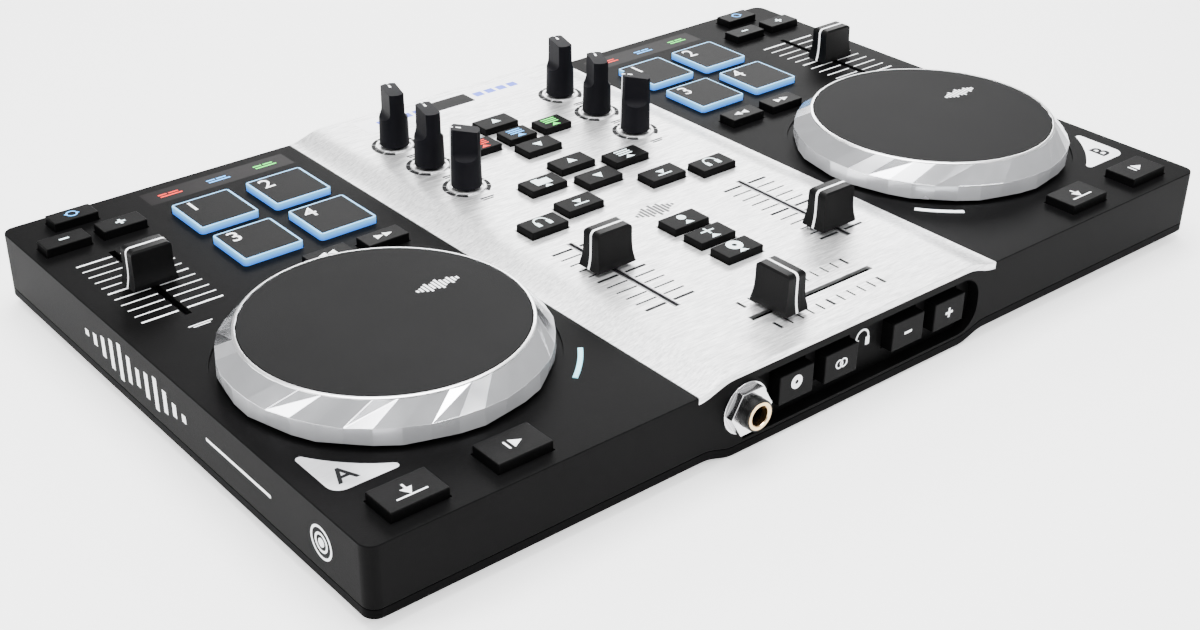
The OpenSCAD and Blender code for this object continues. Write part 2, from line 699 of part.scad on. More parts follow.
module pad(deck, n) placed() color([0.35, 0.7, 0.95]) {
    column = deck == "left" ? 1 - (n - 1) % 2 : (n - 1) % 2;
    key_shape([side(deck) * pad_x[column], pad_y[floor((n - 1) / 2)]], pad_w, pad_w, z_ceiling,
        z_deck + pad_h, 1.2);
}

// The cue key is the outer one on the left deck and the inner one on the right deck
module cue_key(deck) placed() color([0.13, 0.13, 0.14]) deck_key(deck,
    [deck == "left" ? outer_transport_x : inner_transport_x, transport_y], transport_w, transport_d);

module play_key(deck) placed() color([0.13, 0.13, 0.14]) deck_key(deck,
    [deck == "left" ? inner_transport_x : outer_transport_x, transport_y], transport_w, transport_d);

module rewind_key(deck) placed() color([0.13, 0.13, 0.14])
    deck_key(deck, [skip_x[deck == "left" ? 1 : 0], skip_y]);

module forward_key(deck) placed() color([0.13, 0.13, 0.14])
    deck_key(deck, [skip_x[deck == "left" ? 0 : 1], skip_y]);

module sync_keys(deck) placed() color([0.13, 0.13, 0.14])
    for (p = concat([sync_place], bend_places)) deck_key(deck, p);

// Keys of one rubber mat on the mixer plate
module mixer_keys(places, w = mix_w) placed() color([0.12, 0.12, 0.12])
    for (p = places) key_shape(p, w, mix_d, z_mix_ceiling, z_plate + mix_key_h);

module front_key(x) placed() color([0.14, 0.14, 0.14]) {
    flange = 1;
    y_flange = pocket_back + 0.3;
    translate([x - front_key_w / 2, front, front_key_z - front_key_h / 2])
        cube([front_key_w, y_flange + flange - front, front_key_h]);
    translate([x - front_key_w / 2 - flange, y_flange, front_key_z - front_key_h / 2 - flange])
        cube([front_key_w + 2 * flange, flange, front_key_h + 2 * flange]);
    translate([x - 1.5, y_flange, front_key_z - 1.5])
        cube([3, front_board_y() - 2.5 - front_travel - 0.1 - y_flange, 3]);
}

bottom_shell();
top_shell();
mixer_plate();
circuit_boards();
rotary_potentiometers();
slide_potentiometers();
wheel_bearings();
headphone_socket();
socket_nut_washer();
usb_socket();
line_output_sockets();
rubber_feet();
case_screws();
deck_letter_plates();
beat_lights();
light_windows();
crossfader();
mixer_keys(mode_places, mode_w);  // mode_keys
mixer_keys(page_places);  // page_keys
mixer_keys(scroll_places);  // scroll_keys
mixer_keys(browse_places);  // browse_keys
mixer_keys(load_places);  // load_keys
mixer_keys(cue_listen_places);  // listen_keys
mixer_keys(record_places);  // record_keys
for (d = decks) {
    wheel_ring(d);
    wheel_disc(d);
    volume_fader(d);
    pitch_fader(d);
    cue_key(d);
    play_key(d);
    rewind_key(d);
    forward_key(d);
    sync_keys(d);
}
for (d = decks, row = [0 : 2])
    mixer_knob(d, row);
for (d = decks, n = [1 : 4])
    pad(d, n);
for (i = [0 : 3])
    front_key(front_key_x[i]);
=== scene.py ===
"""Looks of a two-deck DJ controller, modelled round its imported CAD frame.

Every size in the dataclasses is in millimetres and is turned into metres where a mesh is made.
Places come from the frame's own boxes, so a piece follows its CAD node.
"""
import logging
import math
from contextlib import contextmanager
from dataclasses import dataclass, field
from enum import Enum
from typing import Callable, Iterator, Sequence

import bpy
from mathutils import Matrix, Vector


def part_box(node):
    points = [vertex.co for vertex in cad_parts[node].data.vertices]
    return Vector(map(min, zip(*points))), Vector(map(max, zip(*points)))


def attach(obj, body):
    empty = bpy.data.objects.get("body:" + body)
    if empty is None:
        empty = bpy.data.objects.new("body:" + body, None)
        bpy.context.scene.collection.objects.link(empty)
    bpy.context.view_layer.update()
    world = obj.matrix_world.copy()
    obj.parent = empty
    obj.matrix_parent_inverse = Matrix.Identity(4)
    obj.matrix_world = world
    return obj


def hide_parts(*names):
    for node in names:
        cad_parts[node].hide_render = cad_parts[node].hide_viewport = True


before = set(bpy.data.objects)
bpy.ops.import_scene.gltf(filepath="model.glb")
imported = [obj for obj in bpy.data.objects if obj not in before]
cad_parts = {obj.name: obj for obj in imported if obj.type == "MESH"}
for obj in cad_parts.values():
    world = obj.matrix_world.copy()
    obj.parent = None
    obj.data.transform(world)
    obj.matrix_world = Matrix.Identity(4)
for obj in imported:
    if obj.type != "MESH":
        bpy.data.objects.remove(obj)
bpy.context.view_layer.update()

LOG = logging.getLogger("controller")
MM = 0.001
Colour = tuple[float, float, float]
Piece = bpy.types.Object
Socket = bpy.types.NodeSocket
Material = bpy.types.Material
KNOB_TURNS = {"left": {"treble": -12.0, "mid": -9.0, "bass": 51.0},
              "right": {"treble": -10.0, "mid": -20.0, "bass": 51.0}}


# ---- Modelling by operators ----


class Pick(Enum):
    """Which elements a selection in edit mode is made of."""

    VERTICES = "VERT"
    EDGES = "EDGE"
    FACES = "FACE"


def deselect_all() -> None:
    """Leave nothing selected in object mode."""
    bpy.ops.object.select_all(action="DESELECT")


def make_active(piece: Piece) -> None:
    """Select one piece alone and make it the active object.

    Args:
        piece: The object to work on.
    """
    deselect_all()
    piece.select_set(True)
    bpy.context.view_layer.objects.active = piece


@contextmanager
def editing(piece: Piece, kind: Pick = Pick.FACES,
            test: Callable[..., bool] | None = None) -> Iterator[None]:
    """Work on a piece in edit mode with some of its elements selected.

    Args:
        piece: The object to edit.
        kind: The kind of element that is selected.
        test: Says if an element is selected: it is given a vertex's place, an edge's two
            places, or a face's centre and normal. Everything is selected when it is None.

    Yields:
        Nothing: the piece is in edit mode meanwhile.
    """
    make_active(piece)
    mesh = piece.data
    modes = (Pick.VERTICES, Pick.EDGES, Pick.FACES)
    bpy.context.tool_settings.mesh_select_mode = [kind is mode for mode in modes]
    for group in (mesh.vertices, mesh.edges, mesh.polygons):
        group.foreach_set("select", [test is None] * len(group))
    if test is not None and kind is Pick.VERTICES:
        mesh.vertices.foreach_set("select", [test(v.co) for v in mesh.vertices])
    elif test is not None and kind is Pick.EDGES:
        places = [v.co for v in mesh.vertices]
        mesh.edges.foreach_set("select", [test(*(places[i] for i in e.vertices)) for e in mesh.edges])
    elif test is not None:
        mesh.polygons.foreach_set("select", [test(f.center, f.normal) for f in mesh.polygons])
    bpy.ops.object.mode_set(mode="EDIT")
    yield
    bpy.ops.object.mode_set(mode="OBJECT")


def settle(piece: Piece) -> Piece:
    """Apply a piece's place, turn and scale to its mesh, so that its object sits at the origin.

    Args:
        piece: The piece.

    Returns:
        The same piece.
    """
    make_active(piece)
    bpy.ops.object.transform_apply(location=True, rotation=True, scale=True)
    return piece


def move_to(piece: Piece, place: Vector, turn: float = 0.0) -> Piece:
    """Turn a piece about Z, move it from the origin to its place, and settle it there.

    Args:
        piece: The object, modelled round the origin.
        place: Where its origin goes, in metres.
        turn: Angle about Z, in degrees.

    Returns:
        The same object.
    """
    piece.rotation_euler = (0.0, 0.0, math.radians(turn))
    piece.location = place
    return settle(piece)


def finish_edges(piece: Piece, width: float, segments: int = 2, angle: float = 35.0) -> Piece:
    """Round a piece's sharp edges with a bevel and smooth its shading.

    Args:
        piece: The object.
        width: Width of the bevel, in millimetres.
        segments: Number of segments across it.
        angle: Edges sharper than this are rounded, in degrees.

    Returns:
        The same object.
    """
    make_active(piece)
    bpy.ops.object.shade_smooth_by_angle(angle=math.radians(angle))
    bevel = piece.modifiers.new("edges", "BEVEL")
    bevel.width = width * MM
    bevel.segments = segments
    bevel.limit_method = "ANGLE"
    bevel.angle_limit = math.radians(angle)
    bevel.loop_slide = False
    bevel.harden_normals = True
    bpy.ops.object.modifier_apply(modifier=bevel.name)
    return piece


def block(name: str, centre: Sequence[float], size: Sequence[float], bevel: float = 0.0,
          segments: int = 2) -> Piece:
    """A box with rounded edges.

    Args:
        name: The piece's name.
        centre: Its centre, in metres.
        size: Its size, in millimetres.
        bevel: Width of the rounded edges, in millimetres.
        segments: Segments across each rounded edge.

    Returns:
        The new object.
    """
    deselect_all()
    bpy.ops.mesh.primitive_cube_add(size=1.0, location=centre, scale=[s * MM for s in size])
    piece = bpy.context.object
    piece.name = name
    settle(piece)
    return finish_edges(piece, bevel, segments) if bevel else piece


@dataclass
class Ring:
    """One ring of a turned outline."""

    radius: float
    height: float
    twist: float = 0.0


def turned(name: str, rings: Sequence[Ring], sides: int = 64, hollow: bool = False,
           smooth: float = 35.0) -> Piece:
    """A turned shape about Z, made by extruding a circle ring by ring.

    Args:
        name: The piece's name.
        rings: Its outline from one end to the other, in millimetres and degrees.
        sides: Number of sides.
        hollow: True if the last ring is joined to the first instead of both ends being capped.
        smooth: Angle below which the shading is smooth, in degrees.

    Returns:
        The new object, round the origin.
    """
    deselect_all()
    first = rings[0]
    bpy.ops.mesh.primitive_circle_add(vertices=sides, radius=first.radius * MM,
                                      location=(0, 0, first.height * MM))
    piece = settle(bpy.context.object)
    piece.name = name
    centre = (0.0, 0.0, 0.0)
    with editing(piece, Pick.EDGES):
        for before, ring in zip(rings, rings[1:]):
            rise = (ring.height - before.height) * MM
            bpy.ops.mesh.extrude_region_move(TRANSFORM_OT_translate={"value": (0, 0, rise)})
            scale = ring.radius / before.radius
            bpy.ops.transform.resize(value=(scale, scale, 1.0), center_override=centre)
            if ring.twist:
                bpy.ops.transform.rotate(value=-math.radians(ring.twist), orient_axis="Z",
                                         center_override=centre)
        bpy.ops.mesh.select_all(action="DESELECT")
        bpy.ops.mesh.select_non_manifold()
        if hollow:
            bpy.ops.mesh.bridge_edge_loops()
        else:
            bpy.ops.mesh.fill_holes(sides=0)
        bpy.ops.mesh.select_all(action="SELECT")
        bpy.ops.mesh.normals_make_consistent(inside=False)
    make_active(piece)
    bpy.ops.object.shade_smooth_by_angle(angle=math.radians(smooth))
    return piece


def arc_bar(name: str, centre: Sequence[float], radius: float, width: float, height: float,
            start: float, sweep: float) -> Piece:
    """A flat bar that runs along an arc about Z, spun from its own end face.

    Args:
        name: The piece's name.
        centre: Centre of the arc, at the bar's underside, in metres.
        radius: Radius of the bar's middle, in millimetres.
        width: Width of the bar, in millimetres.
        height: Thickness of the bar, in millimetres.
        start: Angle of the first end, in degrees.
        sweep: Angle that the bar covers, in degrees.

    Returns:
        The new object.
    """
    deselect_all()
    bpy.ops.mesh.primitive_plane_add(size=1.0, rotation=(math.pi / 2, 0, 0),
                                     location=(radius * MM, 0, height * MM / 2))
    piece = bpy.context.object
    piece.name = name
    piece.scale = (width * MM, height * MM, 1.0)
    settle(piece)
    steps = max(3, int(abs(sweep) / 6))
    with editing(piece):
        bpy.ops.mesh.spin(steps=steps, angle=-math.radians(sweep), center=(0, 0, 0), axis=(0, 0, 1))
        bpy.ops.mesh.select_all(action="SELECT")
        bpy.ops.mesh.remove_doubles(threshold=1e-7)
        bpy.ops.mesh.normals_make_consistent(inside=False)
    return move_to(piece, Vector(centre), start)


def wedge(name: str, centre: Sequence[float], radius: float, height: float, turn: float = 0.0,
          squeeze: float = 1.0) -> Piece:
    """A flat three-cornered mark that points along +X before it is turned.

    Args:
        name: The piece's name.
        centre: Its middle, at its underside, in metres.
        radius: Radius of the circle through its corners, in millimetres.
        height: Its thickness, in millimetres.
        turn: Angle about Z, in degrees.
        squeeze: Scale across the way it points.

    Returns:
        The new object.
    """
    deselect_all()
    bpy.ops.mesh.primitive_cylinder_add(vertices=3, radius=radius * MM, depth=height * MM,
                                        location=(0, 0, height * MM / 2), rotation=(0, 0, -math.pi / 2))
    piece = settle(bpy.context.object)
    piece.name = name
    piece.scale = (1.0, squeeze, 1.0)
    return move_to(piece, Vector(centre), turn)


def lettering(name: str, text: str, centre: Sequence[float], height: float, thick: float,
              weight: float = 0.0) -> Piece:
    """A digit or letter as a solid mark.

    Args:
        name: The piece's name.
        text: The sign that it shows.
        centre: Its middle, at its underside, in metres.
        height: Height of the sign, in millimetres.
        thick: Its thickness, in millimetres.
        weight: How much bolder its strokes are drawn, in millimetres.

    Returns:
        The new object.
    """
    deselect_all()
    bpy.ops.object.text_add(location=(0, 0, 0))
    sign = bpy.context.object
    sign.data.body = text
    sign.data.size = height * MM * 1.4
    sign.data.align_x = "CENTER"
    sign.data.align_y = "CENTER"
    sign.data.extrude = thick * MM / 2
    sign.data.offset = weight * MM
    bpy.ops.object.convert(target="MESH")
    piece = bpy.context.object
    piece.name = name
    return move_to(piece, Vector(centre) + Vector((0, 0, thick * MM / 2)))


def join(name: str, parts: Sequence[Piece]) -> Piece:
    """Join several pieces into one.

    Args:
        name: The name of the joined piece.
        parts: The objects to join.

    Returns:
        The joined object.
    """
    deselect_all()
    for part in parts:
        part.select_set(True)
    bpy.context.view_layer.objects.active = parts[0]
    if len(parts) > 1:
        bpy.ops.object.join()
    piece = bpy.context.object
    piece.name = name
    return piece


def copied(piece: Piece, name: str) -> Piece:
    """A copy of a piece with its own mesh.

    Args:
        piece: The piece to copy.
        name: The copy's name.

    Returns:
        The copy.
    """
    make_active(piece)
    bpy.ops.object.duplicate(linked=False)
    twin = bpy.context.object
    twin.name = name
    return twin


def refined(node: str, name: str, bevel: float, segments: int = 2, angle: float = 35.0) -> Piece:
    """A copy of a CAD node with its triangles merged into faces and its edges rounded.

    Args:
        node: The CAD node that the copy stands for.
        name: The piece's name.
        bevel: Width of the rounded edges, in millimetres.
        segments: Segments across each rounded edge.
        angle: Edges sharper than this are rounded, in degrees.

    Returns:
        The new object.
    """
    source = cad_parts[node]
    piece = bpy.data.objects.new(name, source.data.copy())
    bpy.context.collection.objects.link(piece)
    piece.data.materials.clear()
    make_active(piece)
    if piece.data.has_custom_normals:
        bpy.ops.mesh.customdata_custom_splitnormals_clear()
    with editing(piece):
        bpy.ops.mesh.remove_doubles(threshold=2e-6)
        bpy.ops.mesh.dissolve_limited(angle_limit=math.radians(0.6))
    if bevel:
        finish_edges(piece, bevel, segments, angle)
    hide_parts(node)
    return piece


# ---- Finishes ----


class NodeGraph:
    """A small builder for a material's node tree."""

    def __init__(self, name: str) -> None:
        """Start a material with its shader.

        Args:
            name: The material's name.
        """
        self.material = bpy.data.materials.new(name)
        self.material.use_nodes = True
        self.nodes = self.material.node_tree.nodes
        self.links = self.material.node_tree.links
        self.shader = self.nodes["Principled BSDF"]
        self.place = self.nodes.new("ShaderNodeTexCoord").outputs["Object"]

    def set(self, **values: object) -> None:
        """Set the shader's own sockets; underscores stand for spaces in their names."""
        for key, value in values.items():
            self.shader.inputs[key.replace("_", " ")].default_value = value

    def link(self, output: Socket, socket: str) -> None:
        """Join an output to one of the shader's sockets."""
        self.links.new(output, self.shader.inputs[socket])

    def stretched(self, scale: Sequence[float]) -> Socket:
        """Object coordinates scaled along each axis, for grain that runs one way.

        Args:
            scale: The scale along x, y and z.

        Returns:
            The scaled coordinates.
        """
        mapping = self.nodes.new("ShaderNodeMapping")
        mapping.inputs["Scale"].default_value = scale
        self.links.new(self.place, mapping.inputs["Vector"])
        return mapping.outputs["Vector"]

    def noise(self, scale: float, detail: float = 4.0, vector: Socket | None = None,
              rough: float = 0.55) -> Socket:
        """A noise pattern.

        Args:
            scale: Its scale, in waves per metre.
            detail: Octaves of detail.
            vector: Where it reads its place; the object coordinates when None.
            rough: How strong the fine octaves are.

        Returns:
            The pattern's factor.
        """
        noise = self.nodes.new("ShaderNodeTexNoise")
        noise.inputs["Scale"].default_value = scale
        noise.inputs["Detail"].default_value = detail
        noise.inputs["Roughness"].default_value = rough
        self.links.new(vector or self.place, noise.inputs["Vector"])
        return noise.outputs["Fac"]

    def ramp(self, factor: Socket, low: Sequence[float], high: Sequence[float],
             start: float = 0.3, end: float = 0.7) -> Socket:
        """Turn a factor into a colour between two colours.

        Args:
            factor: The factor.
            low: The colour at the start.
            high: The colour at the end.
            start: The factor at which the first colour ends.
            end: The factor at which the second colour begins.

        Returns:
            The colour.
        """
        ramp = self.nodes.new("ShaderNodeValToRGB")
        ramp.color_ramp.elements[0].position = start
        ramp.color_ramp.elements[1].position = end
        ramp.color_ramp.elements[0].color = (*low, 1.0)
        ramp.color_ramp.elements[1].color = (*high, 1.0)
        self.links.new(factor, ramp.inputs["Fac"])
        return ramp.outputs["Color"]

    def range(self, factor: Socket, low: float, high: float) -> Socket:
        """Map a factor from 0..1 to another range.

        Args:
            factor: The factor.
            low: What 0 becomes.
            high: What 1 becomes.

        Returns:
            The mapped value.
        """
        span = self.nodes.new("ShaderNodeMapRange")
        span.inputs["To Min"].default_value = low
        span.inputs["To Max"].default_value = high
        self.links.new(factor, span.inputs["Value"])
        return span.outputs["Result"]

    def bump(self, height: Socket, distance: float, strength: float = 1.0,
             below: Socket | None = None) -> Socket:
        """Bend the surface normal by a height pattern.

        Args:
            height: The pattern.
            distance: Depth of the relief, in metres.
            strength: Strength of the effect.
            below: A bump that this one is added to.

        Returns:
            The normal.
        """
        bump = self.nodes.new("ShaderNodeBump")
        bump.inputs["Distance"].default_value = distance
        bump.inputs["Strength"].default_value = strength
        self.links.new(height, bump.inputs["Height"])
        if below is not None:
            self.links.new(below, bump.inputs["Normal"])
        return bump.outputs["Normal"]


@dataclass(frozen=True)
class Moulded:
    """Moulded plastic or rubber: fine texture, slight unevenness of colour and gloss."""

    name: str
    colour: Colour
    roughness: float
    grain: float = 0.00003
    grain_scale: float = 2600.0
    sheen: float = 0.0
    specular: float = 0.5
    coat: float = 0.0

    def build(self) -> Material:
        """Make the material.

        Returns:
            The new material.
        """
        graph = NodeGraph(self.name)
        graph.set(Roughness=self.roughness, Sheen_Weight=self.sheen, Specular_IOR_Level=self.specular,
                  Coat_Weight=self.coat, Coat_Roughness=0.12)
        broad = graph.noise(38.0, 3.0)
        light = tuple(min(1.0, c * 1.12) for c in self.colour)
        dark = tuple(c * 0.88 for c in self.colour)
        graph.link(graph.ramp(broad, dark, light, 0.35, 0.65), "Base Color")
        fine = graph.noise(self.grain_scale, 3.0)
        graph.link(graph.range(fine, self.roughness - 0.05, self.roughness + 0.05), "Roughness")
        graph.link(graph.bump(fine, self.grain), "Normal")
        return graph.material


@dataclass(frozen=True)
class Brushed:
    """Metal brushed along X: streaks in its colour, gloss and relief."""

    name: str
    colour: Colour
    roughness: float
    contrast: float = 0.10
    depth: float = 0.000012
    metallic: float = 1.0

    def build(self) -> Material:
        """Make the material.

        Returns:
            The new material.
        """
        graph = NodeGraph(self.name)
        graph.set(Metallic=self.metallic, Roughness=self.roughness)
        streaks = graph.noise(1.0, 4.0, graph.stretched((150.0, 1500.0, 1500.0)), 0.75)
        bands = graph.noise(1.0, 2.0, graph.stretched((34.0, 420.0, 420.0)))
        light = tuple(min(1.0, c * (1.0 + self.contrast)) for c in self.colour)
        dark = tuple(c * (1.0 - self.contrast) for c in self.colour)
        graph.link(graph.ramp(streaks, dark, light, 0.36, 0.64), "Base Color")
        graph.link(graph.range(streaks, self.roughness - 0.07, self.roughness + 0.09), "Roughness")
        graph.link(graph.bump(streaks, self.depth, below=graph.bump(bands, self.depth * 1.5)), "Normal")
        return graph.material


@dataclass(frozen=True)
class Plated:
    """Bright plated or polished metal with a faint unevenness."""

    name: str
    colour: Colour
    roughness: float = 0.06
    metallic: float = 1.0

    def build(self) -> Material:
        """Make the material.

        Returns:
            The new material.
        """
        graph = NodeGraph(self.name)
        graph.set(Metallic=self.metallic, Roughness=self.roughness)
        smear = graph.noise(90.0, 4.0)
        dark = tuple(c * 0.93 for c in self.colour)
        graph.link(graph.ramp(smear, dark, self.colour), "Base Color")
        graph.link(graph.range(smear, self.roughness * 0.7, self.roughness * 1.5), "Roughness")
        graph.link(graph.bump(graph.noise(120.0, 2.0), 0.000004), "Normal")
        return graph.material


@dataclass(frozen=True)
class Lit:
    """A backlit, milky part: brighter in patches as the lamps under it are."""

    name: str
    colour: Colour
    glow: Colour
    strength: float
    spots: float = 130.0

    def build(self) -> Material:
        """Make the material.

        Returns:
            The new material.
        """
        graph = NodeGraph(self.name)
        graph.set(Roughness=0.32, Emission_Strength=self.strength)
        patches = graph.noise(self.spots, 1.0)
        dim = tuple(c * 0.78 for c in self.glow)
        graph.link(graph.ramp(patches, dim, self.glow), "Emission Color")
        paler = tuple(min(1.0, c * 1.1) for c in self.colour)
        graph.link(graph.ramp(patches, self.colour, paler), "Base Color")
        graph.link(graph.bump(graph.noise(1800.0, 2.0), 0.00001), "Normal")
        return graph.material


@dataclass(frozen=True)
class SideLit:
    """Backlit silicone: pale at its rim and deeper blue towards the deck."""

    name: str
    rim: Colour
    foot: Colour
    low: float
    high: float
    strength: float

    def build(self) -> Material:
        """Make the material.

        Returns:
            The new material.
        """
        graph = NodeGraph(self.name)
        graph.set(Roughness=0.35, Emission_Strength=self.strength, Base_Color=(0.06, 0.22, 0.42, 1.0))
        split = graph.nodes.new("ShaderNodeSeparateXYZ")
        graph.links.new(graph.place, split.inputs["Vector"])
        span = graph.nodes.new("ShaderNodeMapRange")
        span.inputs["From Min"].default_value = self.low
        span.inputs["From Max"].default_value = self.high
        graph.links.new(split.outputs["Z"], span.inputs["Value"])
        graph.link(graph.ramp(span.outputs["Result"], self.foot, self.rim, 0.1, 0.9), "Emission Color")
        graph.link(graph.bump(graph.noise(1500.0, 2.0), 0.00001), "Normal")
        return graph.material


@dataclass(frozen=True)
class Inked:
    """Screen-printed or lit ink: slightly uneven cover."""

    name: str
    colour: Colour
    glow: float = 0.0
    roughness: float = 0.5

    def build(self) -> Material:
        """Make the material.

        Returns:
            The new material.
        """
        graph = NodeGraph(self.name)
        graph.set(Roughness=self.roughness, Emission_Strength=self.glow, Specular_IOR_Level=0.04)
        cover = graph.noise(900.0, 3.0)
        thin = tuple(c * 0.86 for c in self.colour)
        ink = graph.ramp(cover, thin, self.colour)
        graph.link(ink, "Base Color")
        if self.glow:
            graph.link(ink, "Emission Color")
        graph.link(graph.bump(cover, 0.000008), "Normal")
        return graph.material


class Finishes:
    """Every finish on the object, made once."""

    def __init__(self) -> None:
        """Build the materials."""
        self.deck = Moulded("deck_charcoal", (0.0017, 0.0017, 0.0018), 0.50, specular=0.03).build()
        self.base = Moulded("base_black", (0.0010, 0.0010, 0.0011), 0.55, specular=0.02).build()
        self.plate = Brushed("brushed_plate", (0.86, 0.86, 0.87), 0.44, contrast=0.34, depth=0.00004).build()
        # The jog ring's upper facets take a darker copy of the band's chrome: painted shade on one chrome
        # finish.
        self.chrome = Plated("wheel_chrome_painted_shade", (0.80, 0.81, 0.84), 0.15, 0.96).build()
        self.band = Plated("wheel_band", (0.86, 0.87, 0.90), 0.22, 0.62).build()
        self.lip = Plated("wheel_lip", (0.97, 0.97, 0.98), 0.28).build()
        self.disc = Moulded("touch_disc", (0.0042, 0.0042, 0.0044), 0.6, grain=0.00004, grain_scale=3400.0,
                            specular=0.06).build()
        self.knob = Moulded("knob_rubber", (0.0018, 0.0018, 0.0032), 0.55, specular=0.08).build()
        self.cap = Moulded("cap_black", (0.0018, 0.0018, 0.0019), 0.42, specular=0.09).build()
        self.key = Moulded("key_charcoal", (0.0019, 0.0019, 0.002), 0.45, specular=0.045).build()
        self.mat_key = Moulded("key_rubber", (0.0016, 0.0016, 0.0017), 0.48, specular=0.04).build()
        self.pad_top = Moulded("pad_top", (0.0036, 0.0036, 0.0038), 0.52, specular=0.06).build()
        self.white = Inked("white_ink", (0.95, 0.96, 0.97), 0.3).build()
        self.lit_white = Inked("lit_legend", (0.80, 0.93, 0.95), 0.8).build()
        self.lit_red = Inked("lit_red", (0.75, 0.04, 0.03), 0.8).build()
        self.lit_blue = Inked("lit_blue", (0.10, 0.45, 1.0), 0.8).build()
        self.lit_green = Inked("lit_green", (0.08, 0.75, 0.12), 0.8).build()
        self.dark_ink = Inked("plate_print", (0.010, 0.010, 0.011)).build()
        self.grey_ink = Inked("plate_print_grey", (0.10, 0.10, 0.105)).build()
        self.level = Inked("level_lamp", (0.14, 0.20, 0.80), 0.3).build()
        self.trim = Brushed("letter_plate", (0.83, 0.83, 0.85), 0.34, contrast=0.05).build()
        self.beat_a = Lit("beat_light_cyan", (0.25, 0.60, 0.68), (0.16, 0.64, 0.80), 0.9).build()
        self.beat_b = Lit("beat_light_white", (0.85, 0.88, 0.9), (0.95, 0.98, 1.0), 0.9).build()
        self.window = Moulded("smoked_window", (0.0035, 0.0028, 0.0031), 0.34, grain=0.000004,
                              specular=0.025).build()
        self.glass = Moulded("display_black", (0.0012, 0.0012, 0.0013), 0.4, grain=0.000004,
                             specular=0.03).build()
        self.panel = Lit("frosted_panel", (0.92, 0.92, 0.95), (0.9, 0.92, 1.0), 0.22).build()
        self.rail = Brushed("slot_rail", (0.30, 0.30, 0.31), 0.4, contrast=0.1).build()
        self.nickel = Plated("nickel", (0.74, 0.74, 0.75), 0.16).build()
        self.brass = Plated("contact_gold", (0.83, 0.60, 0.32), 0.18).build()
        self.thread = Moulded("socket_sleeve", (0.003, 0.003, 0.003), 0.3, grain=0.000006,
                              specular=0.12).build()
        self.tin = Brushed("socket_tin", (0.62, 0.62, 0.64), 0.33, contrast=0.05).build()
        self.foot = Moulded("foot_rubber", (0.016, 0.016, 0.016), 0.8, grain=0.00008, sheen=0.2).build()
        self.screw = Plated("screw_black", (0.22, 0.22, 0.23), 0.32).build()
        self.board = Moulded("board_green", (0.02, 0.11, 0.05), 0.35).build()
        self.pot = Brushed("pot_steel", (0.48, 0.49, 0.51), 0.38, contrast=0.06).build()
        self.acetal = Moulded("acetal", (0.80, 0.78, 0.70), 0.45).build()
        self.phono_red = Moulded("phono_red", (0.45, 0.02, 0.02), 0.3).build()
        self.phono_white = Moulded("phono_white", (0.75, 0.75, 0.74), 0.3).build()


def dress(piece: Piece, finish: Material, body: str) -> Piece:
    """Give a piece its finish and its body.

    Args:
        piece: The object.
        finish: Its material.
        body: The CAD body that it rides on.

    Returns:
        The same object.
    """
    piece.data.materials.clear()
    piece.data.materials.append(finish)
    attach(piece, body)
    return piece


def corners(node: str) -> tuple[Vector, Vector]:
    """Lowest and highest corner of a CAD node's box."""
    low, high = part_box(node)
    return Vector(low), Vector(high)


def middle(node: str) -> Vector:
    """Centre of a CAD node's box, at the height of its top."""
    low, high = corners(node)
    return Vector(((low.x + high.x) / 2, (low.y + high.y) / 2, high.z))


def stand(point: Vector, x: float = 0.0, y: float = 0.0, z: float = 0.0) -> Vector:
    """A point moved by some millimetres."""
    return point + Vector((x, y, z)) * MM


# ---- Camera, light and floor ----


